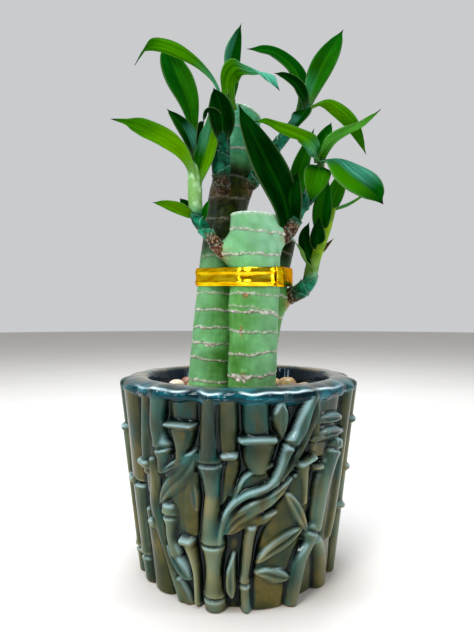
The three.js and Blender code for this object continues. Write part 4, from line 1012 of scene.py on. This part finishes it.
# Each leaf: its tone, its width, how far each half is folded up in degrees, its midrib from the stem's
# middle to the tip, the directions that its upper side faces from base to tip, and what is its own:
# where along it it is widest, how wide its clasping base is, where its tip starts to be drawn out, how
# blanched its base is, and washes of painted light let through (lit), painted shade in deep green
# (shade) and bluish wax that is partly a painted sheen, each from and to as shares of the length, on
# which half (-1, 1, or 0 for both), and how strong.
LEAVES = {
    "left_long": ("bright", 14.5, 16, [(-23.5, -11.5, 194), (-25, -12, 202), (-29, -14, 208),
        (-35, -18, 212), (-42, -25, 214), (-48.5, -31, 215.5), (-57.5, -37, 215.5)], [(0.5, 0.45, 0.6),
        (0.1, 0.45, 0.9)], dict(widest=0.55, clasp=0.5, drawn=0.76, blanched=1, lit=[(0, 0.68, 0, 1)],
        shade=[(0.8, 1, 0, 0.8)])),
    "left_upright": ("green", 16.5, 14, [(-22.5, -7, 209), (-23.5, -3, 224), (-26.5, 2, 239.5),
        (-32, 7, 254), (-37, 11, 266.5), (-41, 14, 278.5)], [(0.25, -0.9, 0.35)], dict(widest=0.66,
        lit=[(0, 0.85, 1, 0.35), (0, 0.6, -1, 0.2)], shade=[(0.3, 1, -1, 0.45)])),
    "left_short": ("dark", 13.5, 20, [(-22.5, -10, 206), (-25, -10, 215.5), (-29.5, -9, 224),
        (-36.5, -7, 232.5)], [(0.5, -0.6, 0.4)], dict(lit=[(0.3, 1, -1, 0.3)], wax=[(0.1, 0.6, 1, 0.55)])),
    "left_curl": ("dark", 6, 20, [(-22.5, -8, 208.5), (-20.5, -9.5, 216.5), (-19.5, -8, 223.5),
        (-17.5, -5, 227)], [(0.8, -0.3, 0.4)], {}),
    "left_inner": ("bright", 12.5, 20, [(-22, -9, 191), (-19.5, -11, 198), (-17, -11.5, 206),
        (-15, -10.5, 215), (-13.3, -9, 224.5), (-14.5, -7, 233.5)], [(-0.3, -0.9, 0.2)], dict(clasp=0.6,
        blanched=0.6, lit=[(0.05, 0.8, 1, 0.8)], wax=[(0.4, 0.9, -1, 0.5)])),
    "left_low_tip": ("bright", 9, 18, [(-21, -11.5, 175.5), (-25.5, -13, 177.5), (-30.5, -17, 179.5),
        (-35.5, -22, 180.5), (-40.5, -26, 180.5)], [(0.1, 0.5, 0.85)], dict(lit=[(0.1, 0.9, 0, 0.7)])),
    "left_low_stub": ("dark", 8, 18, [(-21, -11, 176), (-24, -9, 179.5), (-26.5, -8, 183), (-30, -7, 187)],
        [(0.3, -0.8, 0.5)], {}),
    "left_low_spur": ("green", 6, 18, [(-20, -12, 174.5), (-17, -14, 176), (-16, -15, 180),
        (-14.5, -15, 184.5)], [(-0.6, -0.6, 0.2)], {}),
    "middle_arch": ("bright", 11.5, 14, [(-7.5, -10, 226), (-10.5, -13, 240), (-17.5, -17, 247.5),
        (-26, -21, 252), (-34.5, -25, 254), (-42, -28, 253), (-45, -30, 248), (-48, -31, 242.5)],
        [(0.87, -0.05, 0.5), (0.8, 0, 0.6), (0.5, 0.05, 0.85), (0.05, 0.1, 0.97), (0, 0.15, 0.95),
        (-0.3, -0.2, 0.9)], dict(widest=0.66, clasp=0.4, lit=[(0.35, 0.75, 0, 0.3)],
        shade=[(0.3, 0.7, 0, 0.3), (0.74, 1.2, 0, 1)], wax=[(0.05, 0.42, 0, 0.9)])),
    "middle_tall": ("green", 13.5, 24, [(-5, -7.5, 237), (-5, -3, 248), (-4.5, 0, 261), (-1.5, 3, 273),
        (1.5, 5, 283)], [(0.75, -0.6, 0.1)], dict(widest=0.42, clasp=0.55, shade=[(0.4, 1, 1, 0.8)],
        wax=[(0.05, 0.9, -1, 0.35)])),
    "middle_twist": ("bright", 13, 12, [(-5.5, -8.5, 231), (-5.5, -9, 238.5), (-5, -10, 246),
        (-1.5, -12, 250.5), (4.5, -16, 247.5), (11.5, -20, 244), (16, -23, 239), (19.5, -24, 234)],
        [(0.4, 0.85, 0.2), (0.2, 0, 0.95), (0.15, -0.8, 0.6)], dict(widest=0.56, clasp=0.8,
        lit=[(0.1, 0.4, 0, 0.1)], wax=[(0.46, 1.2, 0, 1)])),
    "middle_front": ("dark", 14, 18, [(-8, -10, 214), (-8, -15, 221), (-9.5, -15, 232),
        (-12.5, -13, 240.5)], [(0.1, -0.95, 0.1)], {}),
    "middle_hook": ("dark", 4.4, 18, [(-8.5, -10, 220), (-11.5, -16.5, 226.5), (-15, -18, 227),
        (-17.5, -18.5, 221)], [(0, 0.3, 0.95)], dict(shade=[(0, 1, 0, 1)])),
    "right_great": ("dark", 17, 12, [(25, -12, 170), (22.5, -19, 181), (18.5, -21, 191), (13, -22, 201.5),
        (7.5, -21, 213), (3, -19, 222.5), (0, -17, 230.5)], [(0.3, -0.9, -0.1)], dict(clasp=0.75,
        blanched=0)),
    "right_round": ("dark", 13, 14, [(27, -12, 174), (25, -19, 181.5), (25.5, -20, 189.5), (29, -17, 197)],
        [(-0.3, -0.9, 0.2)], dict(clasp=0.8, blanched=0)),
    "right_sweep": ("bright", 11, 14, [(40, -14, 203), (35.5, -19, 209.5), (31, -24, 211.5),
        (25, -25, 213.5), (18.5, -24, 216.5), (13, -22, 220), (7.5, -20, 221)], [(-0.6, -0.5, 0.5),
        (0, 0.1, 0.95), (0, 0.3, 0.9)], dict(widest=0.5, clasp=0.7, lit=[(0.3, 0.9, 0, 0.5)],
        wax=[(0.03, 0.3, 0, 1)])),
    "right_small": ("green", 9, 22, [(40.5, -13, 205), (41.5, -12, 211.5), (43.5, -12, 217),
        (46.5, -11, 224)], [(-0.5, -0.8, 0.2)], {}),
    "right_lift": ("bright", 15.5, 34, [(41, -13.5, 203), (46, -19, 210.5), (51, -25, 213),
        (57, -31, 214.5), (60.5, -35, 217), (63.5, -38, 219.5)], [(-0.35, -0.25, 0.9)], dict(widest=0.42,
        clasp=0.5, blanched=0, lit=[(0.15, 0.9, -1, 0.9), (0.15, 0.9, 1, 0.5)],
        wax=[(0.1, 0.95, 1, 0.15)])),
    "right_broad": ("green", 21, 10, [(40.5, -13.5, 203.5), (45.5, -22, 201), (51.5, -29, 193),
        (58, -35, 185), (64, -40, 176.5)], [(0.1, -0.75, 0.65)], dict(widest=0.6, lit=[(0.2, 0.9, 1, 0.9)],
        shade=[(0.8, 1.2, -1, 0.8)], wax=[(0, 0.75, -1, 0.65), (0, 0.3, 1, 0.3)])),
    "right_droop": ("green", 13, 12, [(40.5, -13, 201), (38, -22, 196), (35.5, -26, 187.5),
        (33.5, -27, 180.5)], [(0, -0.95, 0.3)], dict(lit=[(0.3, 0.95, 0, 0.8)])),
    "right_back": ("green", 11, 18, [(30, -12, 180.5), (30.5, -7, 190), (31.5, -7, 201), (34.5, -8, 211),
        (38.5, -7, 222.5)], [(-0.5, -0.8, 0.1)], dict(lit=[(0.05, 0.9, 0, 0.15)])),
    "upper_tall": ("green", 15, 14, [(36.3, 1, 236), (41, 5, 250.5), (47, 9, 265), (53.5, 13, 277.5),
        (58, 15, 285.5)], [(-0.4, -0.9, 0.1)], dict(widest=0.5, lit=[(0.05, 0.9, 0, 0.2)],
        shade=[(0.5, 1, -1, 0.5)], wax=[(0.1, 0.4, -1, 0.2)])),
    "upper_arch": ("green", 15.5, 14, [(32.5, 1.5, 232.5), (34, 4.5, 243), (33.5, 7, 251), (31, 8, 258.5),
        (25, 9, 265.5), (17.5, 9, 270), (10.5, 8, 270.5), (4.5, 7, 270.5)], [(0.4, -0.8, 0.3),
        (0.2, -0.7, 0.6), (0.1, -0.75, 0.65)], dict(widest=0.64, clasp=0.5, lit=[(0.1, 0.6, -1, 0.2)],
        shade=[(0.1, 1, 1, 1), (0.5, 1, -1, 0.5)])),
    "upper_under": ("dark", 11, 20, [(35, 1, 235), (33, -3, 240), (29.5, -5.5, 245), (23.5, -7.5, 248.5),
        (18, -8.5, 250)], [(0.3, -0.8, 0.4)], {}),
    "upper_bow": ("bright", 12, 14, [(36, 1, 235.5), (46, 6, 240.5), (54, 10, 238), (61.5, 13, 232.5),
        (66.5, 15, 225.5), (71, 16, 216.5)], [(0.1, 0.15, 0.97), (0.6, 0.2, 0.6)], dict(widest=0.5,
        lit=[(0.05, 0.6, 0, 0.4)], shade=[(0.6, 1, 0, 0.6)])),
    "upper_curl": ("dark", 11, 24, [(35.5, 1, 235.5), (33, -6, 230), (29.5, -9, 224.5), (26.5, -9, 219.5)],
        [(-0.4, -0.8, 0.4)], dict(wax=[(0.5, 0.9, 1, 0.3)])),
    "rear_front": ("green", 10.5, 14, [(44, 2.5, 169), (42.5, -4, 176), (43, -6, 184), (45, -5, 192),
        (46.5, -4, 197)], [(0.1, -0.98, 0.1)], dict(lit=[(0.05, 0.9, -1, 0.3)])),
    "rear_strip": ("green", 10, 18, [(47, 1, 178), (50.5, 5, 188), (54.5, 9, 198.5), (59, 12, 209)],
        [(-0.3, -0.9, 0.2)], dict(lit=[(0.05, 0.9, 0, 0.4)])),
    "rear_edge": ("bright", 10, 10, [(49, 0, 182.5), (57.5, 3, 185.5), (66, 7, 191), (74, 10, 197)],
        [(-0.5, 0, 0.85)], dict(wax=[(0.05, 0.4, 0, 0.3)])),
    "rear_hook": ("dark", 10, 20, [(39.8, 7, 154), (35, -1, 160.5), (33.5, -3, 167.5), (36.5, -4, 175.5)],
        [(0.5, -0.8, 0.1)], {}),
    "rear_inner": ("dark", 9, 20, [(42, 4, 163), (40.5, -3, 166), (40, -9, 171), (40.5, -11, 176.5)],
        [(0, -0.95, 0.1)], {}),
    "rear_pale": ("pale", 6, 20, [(39.5, 7.5, 150), (35, -3, 155), (31.5, -7, 160.5), (28.5, -8.5, 164.5)],
        [(0.2, -0.6, 0.7)], {}),
    "rear_dry_tip": ("dry", 2.4, 10, [(40.5, 5, 157.5), (44, 4, 161), (47.5, 5, 165), (51, 6, 168.5)],
        [(0.2, -0.6, 0.7)], {}),
}
LEAF_ACROSS, LEAF_ALONG = 15, 64        # points over one side of a blade, and rings along it
BLADE_MIDDLE, BLADE_EDGE = 0.34, 0.12   # half the blade's thickness at its midrib and at its margin


def leaf(name, number):
    """A closed thin blade. Half its width is a clasping base that fades plus a skewed sine belly; its
    section is a soft V, with a sunk midrib, a margin that waves, and tips drawn out to a point."""
    _, width, folded, midrib, faces, own = LEAVES[name]
    t = np.linspace(0, 1, LEAF_ALONG) ** 0.92
    path = spline(midrib, t)
    t = t[:, None]
    run = t * lengths(spline(midrib, 200))[-1]
    forward = unit(np.gradient(path, axis=0))
    look = np.concatenate([along(values, t) for values in zip(*faces)], -1)
    side = unit(np.cross(forward, look))
    up = np.cross(side, forward)
    skew = np.log(0.5) / np.log(own.get("widest", 0.45))
    belly = np.sin(np.pi * np.minimum(t, 0.995) ** skew) ** 0.9
    clasp = own.get("clasp", 0.34) * (1 - t) ** 3
    drawn = own.get("drawn", 0.86)
    half = width / 2 * np.hypot(clasp, belly) * (1 - 0.45 * smoothstep(t, drawn, drawn + 0.13))
    half = np.maximum(half, BLADE_EDGE)

    across = np.linspace(-1, 1, LEAF_ACROSS)
    fold = np.radians(folded) * (1 + 0.6 * (1 - t) ** 3)
    v = np.sqrt(across ** 2 + 0.02) - np.sqrt(0.02)
    wave = 0.05 * across ** 2 * np.sin(run / 9 + number * 1.7 + 1.3 * np.sign(across))
    height = half * (np.sin(fold) * v + wave - 0.1 * across ** 4)
    spread = half * across * np.cos(fold)
    rib = bell(across, 0.07) * (1 - t) ** 0.7
    thick = (BLADE_EDGE + (BLADE_MIDDLE - BLADE_EDGE) * (1 - across ** 2)) * (1 + 0.8 * (1 - t) ** 3)
    thick = thick * (1 - 0.6 * smoothstep(t, 0.85, 1))

    def sheet(offset):
        return path[:, None] + side[:, None] * spread[..., None] + up[:, None] * (height + offset)[..., None]

    def both(under, over=None):
        """A field on the under side and on the upper side, which runs back from margin to margin."""
        under = np.broadcast_to(under, height.shape)
        return np.concatenate([under, (under if over is None else over)[:, ::-1]], 1)

    rings = np.concatenate([sheet(-thick - 0.22 * rib), sheet(thick - 0.16 * rib)[:, ::-1]], 1)
    # The washes: painted sheen over the bluish wax, painted light let through, and painted shade.
    washes = {}
    for wash in ("wax", "lit", "shade"):
        washes[wash] = 0 * height
        for low, high, half_side, strength in own.get(wash, []):
            reach = smoothstep(t, low - 0.05, low + 0.2) * (1 - smoothstep(t, high - 0.25, high + 0.08))
            one_side = smoothstep(across * half_side, -0.12, 0.2) if half_side else 1
            washes[wash] = np.maximum(washes[wash], strength * reach * one_side)
    lit = 0.8 * washes["lit"]
    return skin(
        f"leaf_{name}", rings, across_mm=both(spread), along_mm=both(run), seed=number * 3.7,
        wax=both(washes["wax"]), shade=both(washes["shade"]), rib=both(0.4 * rib), lit=both(0.2 + lit, lit),
        margin=both(0.25 * smoothstep(np.abs(across), 0.88, 1)), tip=both(smoothstep(t, 0.93, 0.985)),
        base=both(own.get("blanched", 0.2) * bell(t, 0.13)))


# ---- pebbles and grit -----------------------------------------------------------------

STONES = {"white": ("#f4ede2", "#e2d6c8"), "cream": ("#ead9ac", "#d6b878"), "tan": ("#c8b4a0", "#a48c78"),
          "pink": ("#e2d0ca", "#c8b0ac"), "red": ("#b0604c", "#8a4438")}
MOUTH, BED = 43.2, 82.4                  # the radius that the pebbles fill, and the height they lie on
FILL_COUNT, FILL_ROUNDS = 95, 260        # small pebbles, and how often they are pushed apart
FILL_SEED, SHAPE_SEED = 5, 9
FILL_ORDER = ["white", "tan", "cream", "pink", "tan", "white", "pink", "cream", "tan", "red"]


def stone(centre, size, turn, seed):
    """A tumbled pebble: an ellipsoid with flattened, uneven sides."""
    polar, theta = np.linspace(0.12, np.pi - 0.12, 15)[:, None], turns(26)
    level = np.sin(polar)
    ball = np.stack([level * np.cos(theta), level * np.sin(theta), -np.cos(polar) + 0 * theta], -1)
    ball = np.sign(ball) * np.abs(ball) ** 0.92
    ball = ball * (1 + 0.10 * ripple(ball, 2.2, seed) + 0.025 * ripple(ball, 0.9, seed + 1))[..., None]
    x, y, z = np.moveaxis(ball * np.array(size) / 2, -1, 0)
    c, s = np.cos(turn), np.sin(turn)
    return np.stack([x * c - y * s, x * s + y * c, z], -1) + np.array(centre)


def pushed(place, radius, others, other_radius, apart=0.0):
    """How far each circle is pushed by the others that it overlaps; apart keeps it from meeting itself."""
    away = place[:, None] - others
    distance = np.linalg.norm(away, axis=-1) + apart
    overlap = np.clip(radius[:, None] + other_radius - distance, 0, None) * (1 - apart)
    return (away / distance[..., None] * overlap[..., None]).sum(1)


def packed_pebbles(held):
    """Places for small pebbles between the canes, the pot and the larger ones: circles are pushed apart
    until hardly any overlap."""
    rng = np.random.default_rng(FILL_SEED)
    radius = rng.uniform(2.6, 4.6, FILL_COUNT)
    turn, out = rng.uniform(0, 2 * np.pi, FILL_COUNT), MOUTH * np.sqrt(rng.uniform(0.02, 0.9, FILL_COUNT))
    place = np.stack([out * np.cos(turn), out * np.sin(turn)], -1)
    for _ in range(FILL_ROUNDS):
        place = place + 0.25 * pushed(place, radius, place, radius, np.eye(FILL_COUNT))
        place = place + 0.7 * pushed(place, radius, held[:, :2], held[:, 2])
        place *= np.minimum(1, (MOUTH - radius) / np.linalg.norm(place, axis=1))[:, None]
    clear = np.linalg.norm(place[:, None] - held[:, :2], axis=-1) > held[:, 2] + 0.45 * radius[:, None]
    return [(p, r, i) for i, (p, r, ok) in enumerate(zip(place, radius, clear.all(1))) if ok]


def pebbles(finishes):
    """Finer stones in place of the larger ones, and small ones packed between them."""
    held = []
    for entry in frame["record"]["subparts"]:
        node, slot = entry["node"], entry["material_slot"]
        if not node.startswith("pebble_"):
            continue
        low, high = (np.array(corner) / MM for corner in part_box(node))
        middle, extent = (low + high) / 2, high - low
        number = int(node.split("_")[1])
        mesh = skin(node, stone(middle, extent, number * 0.4, 100 + 3 * number), shade=(number % 4) / 4)
        piece(f"{node}_stone", mesh, finishes[slot], slot, node)
        held.append([*middle[:2], extent[:2].mean() / 2])
    for spec in CANES.values():
        centre = spline(spec["path"], CANE_SAMPLES)
        held.append([*centre[np.argmax(centre[:, 2] >= BED + 3), :2], spec["radii"][0] + 0.2])
    rng = np.random.default_rng(SHAPE_SEED)
    by_slot = {slot: [] for slot in finishes}
    for place, radius, i in packed_pebbles(np.array(held)):
        tall = radius * rng.uniform(1.2, 1.6)
        centre = (*place, BED + tall / 2 + rng.uniform(0, 2.4))
        extent = (radius * 2.15, radius * rng.uniform(1.6, 2.05), tall)
        mesh = skin("fill", stone(centre, extent, rng.uniform(0, np.pi), 300 + i), shade=rng.uniform(0, 0.9))
        by_slot[f"pebble_{FILL_ORDER[i % len(FILL_ORDER)]}"].append(mesh)
    for slot, meshes in by_slot.items():
        if meshes:
            piece(f"{slot}_fill", joined(f"{slot}_fill", meshes), finishes[slot], slot)


def grit_bed():
    """The grit up to the pebbles: a plain plug that follows the inside wall, with a grainy top."""
    theta = turns(120)
    side = [(20, 7.4), (34, 7.4), (37, 10.6), (40.4, 30), (43.2, 70), (43.6, 81.6)]
    top = [(r, 82) for r in np.linspace(43, 2, 44)]
    radius, z = np.hsplit(np.array(side + top), 2)
    rings = np.stack([radius * np.cos(theta), radius * np.sin(theta), z + 0 * theta], -1)
    grain = 0.8 * ripple(rings, 3.2, 131) + 0.45 * ripple(rings, 1.5, 132)
    rings[len(side):, :, 2] += grain[len(side):]
    return skin("grit_bed", rings)


# ---- putting it together --------------------------------------------------------------

def plant():
    """All the pieces, in the order of the record's nodes."""
    pot()
    piece("grit_bed", grit_bed(), damp_grit(), "grit", "growing_medium")
    pebbles({f"pebble_{name}": river_stone(name, *colours) for name, colours in STONES.items()})
    skin_of_cane, film, stem = cane_skin(), gold_film(), sheathed_stem()
    for name in CANES:
        piece(f"cane_{name}_skin", cane(name), skin_of_cane, "cane", f"cane_{name}")
    piece("ribbon_band", ribbon(), film, "gold_film", "ribbon")
    piece("ribbon_second_layer", ribbon_overlap(), film, "gold_film", "ribbon_overlap")
    for name in SHOOTS:
        piece(f"shoot_{name}_stem", shoot(name), stem, "shoot", f"shoot_{name}")
    blades = {tone: leaf_blade(tone) for tone in LEAF_TONES}
    for number, (name, (tone, *_)) in enumerate(LEAVES.items()):
        piece(f"leaf_{name}_blade", leaf(name, number), blades[tone], f"leaf_{tone}", f"leaf_{name}")


def studio():
    """A pale floor, a broad soft light overhead, a soft one in front, a narrow one at each side, and a
    pale surround that is brighter behind the plant than in front of it."""
    bpy.ops.mesh.primitive_circle_add(vertices=64, radius=4, fill_type="NGON")
    floor = bpy.context.active_object
    floor.name = "studio_floor"
    floor.data.materials.append(painted_board())
    lights = [   # name, place, width and depth in metres, power in watts, colour
        ("overhead", (-0.05, 0.02, 1.0), 1.0, 0.42, 15, "#f0f5ff"),
        ("key", (-0.5, -0.85, 0.95), 0.3, 0.3, 7, "#fff8ee"),
        ("left", (-0.9, -0.3, 0.5), 0.08, 0.8, 2.6, "#dcebff"),
        ("right", (0.9, -0.2, 0.4), 0.2, 0.7, 3.2, "#f4f6ff"),
    ]
    for name, place, width, depth, power, colour in lights:
        data = bpy.data.lights.new(name, "AREA")
        data.shape, data.size, data.size_y = "RECTANGLE", width, depth
        data.energy, data.color = power, linear(colour)[:3]
        lamp = bpy.data.objects.new(name, data)
        bpy.context.collection.objects.link(lamp)
        lamp.location = place
        aim = Vector((0, 0, 0.14)) - Vector(place)
        lamp.rotation_euler = aim.to_track_quat("-Z", "Y").to_euler()
    world = bpy.data.worlds.new("surround")
    world.use_nodes = True
    tree = world.node_tree
    way = add(tree, "SeparateXYZ", {0: add(tree, "TexCoord", out="Generated")}, out="Y")
    strength = add(tree, "MapRange", {"Value": way, "From Min": -0.6, "From Max": 0.6,
                                      "To Min": 0.32, "To Max": 0.7})
    tree.links.new(strength, tree.nodes["Background"].inputs["Strength"])
    tree.nodes["Background"].inputs["Color"].default_value = linear("#eceef0")
    bpy.context.scene.world = world
    bpy.context.scene.view_settings.view_transform = "Standard"


def camera():
    """Level with the middle of the canes and straight in front, as close as a hand-held camera stood."""
    data = bpy.data.cameras.new("camera")
    data.lens, data.sensor_width = 28.3, 36
    data.clip_start = 0.01
    made = bpy.data.objects.new("camera", data)
    bpy.context.collection.objects.link(made)
    made.location = np.array((-0.8, -260, 127)) * MM
    made.rotation_euler = (np.pi / 2, 0, 0)
    bpy.context.scene.camera = made


camera()
plant()
studio()
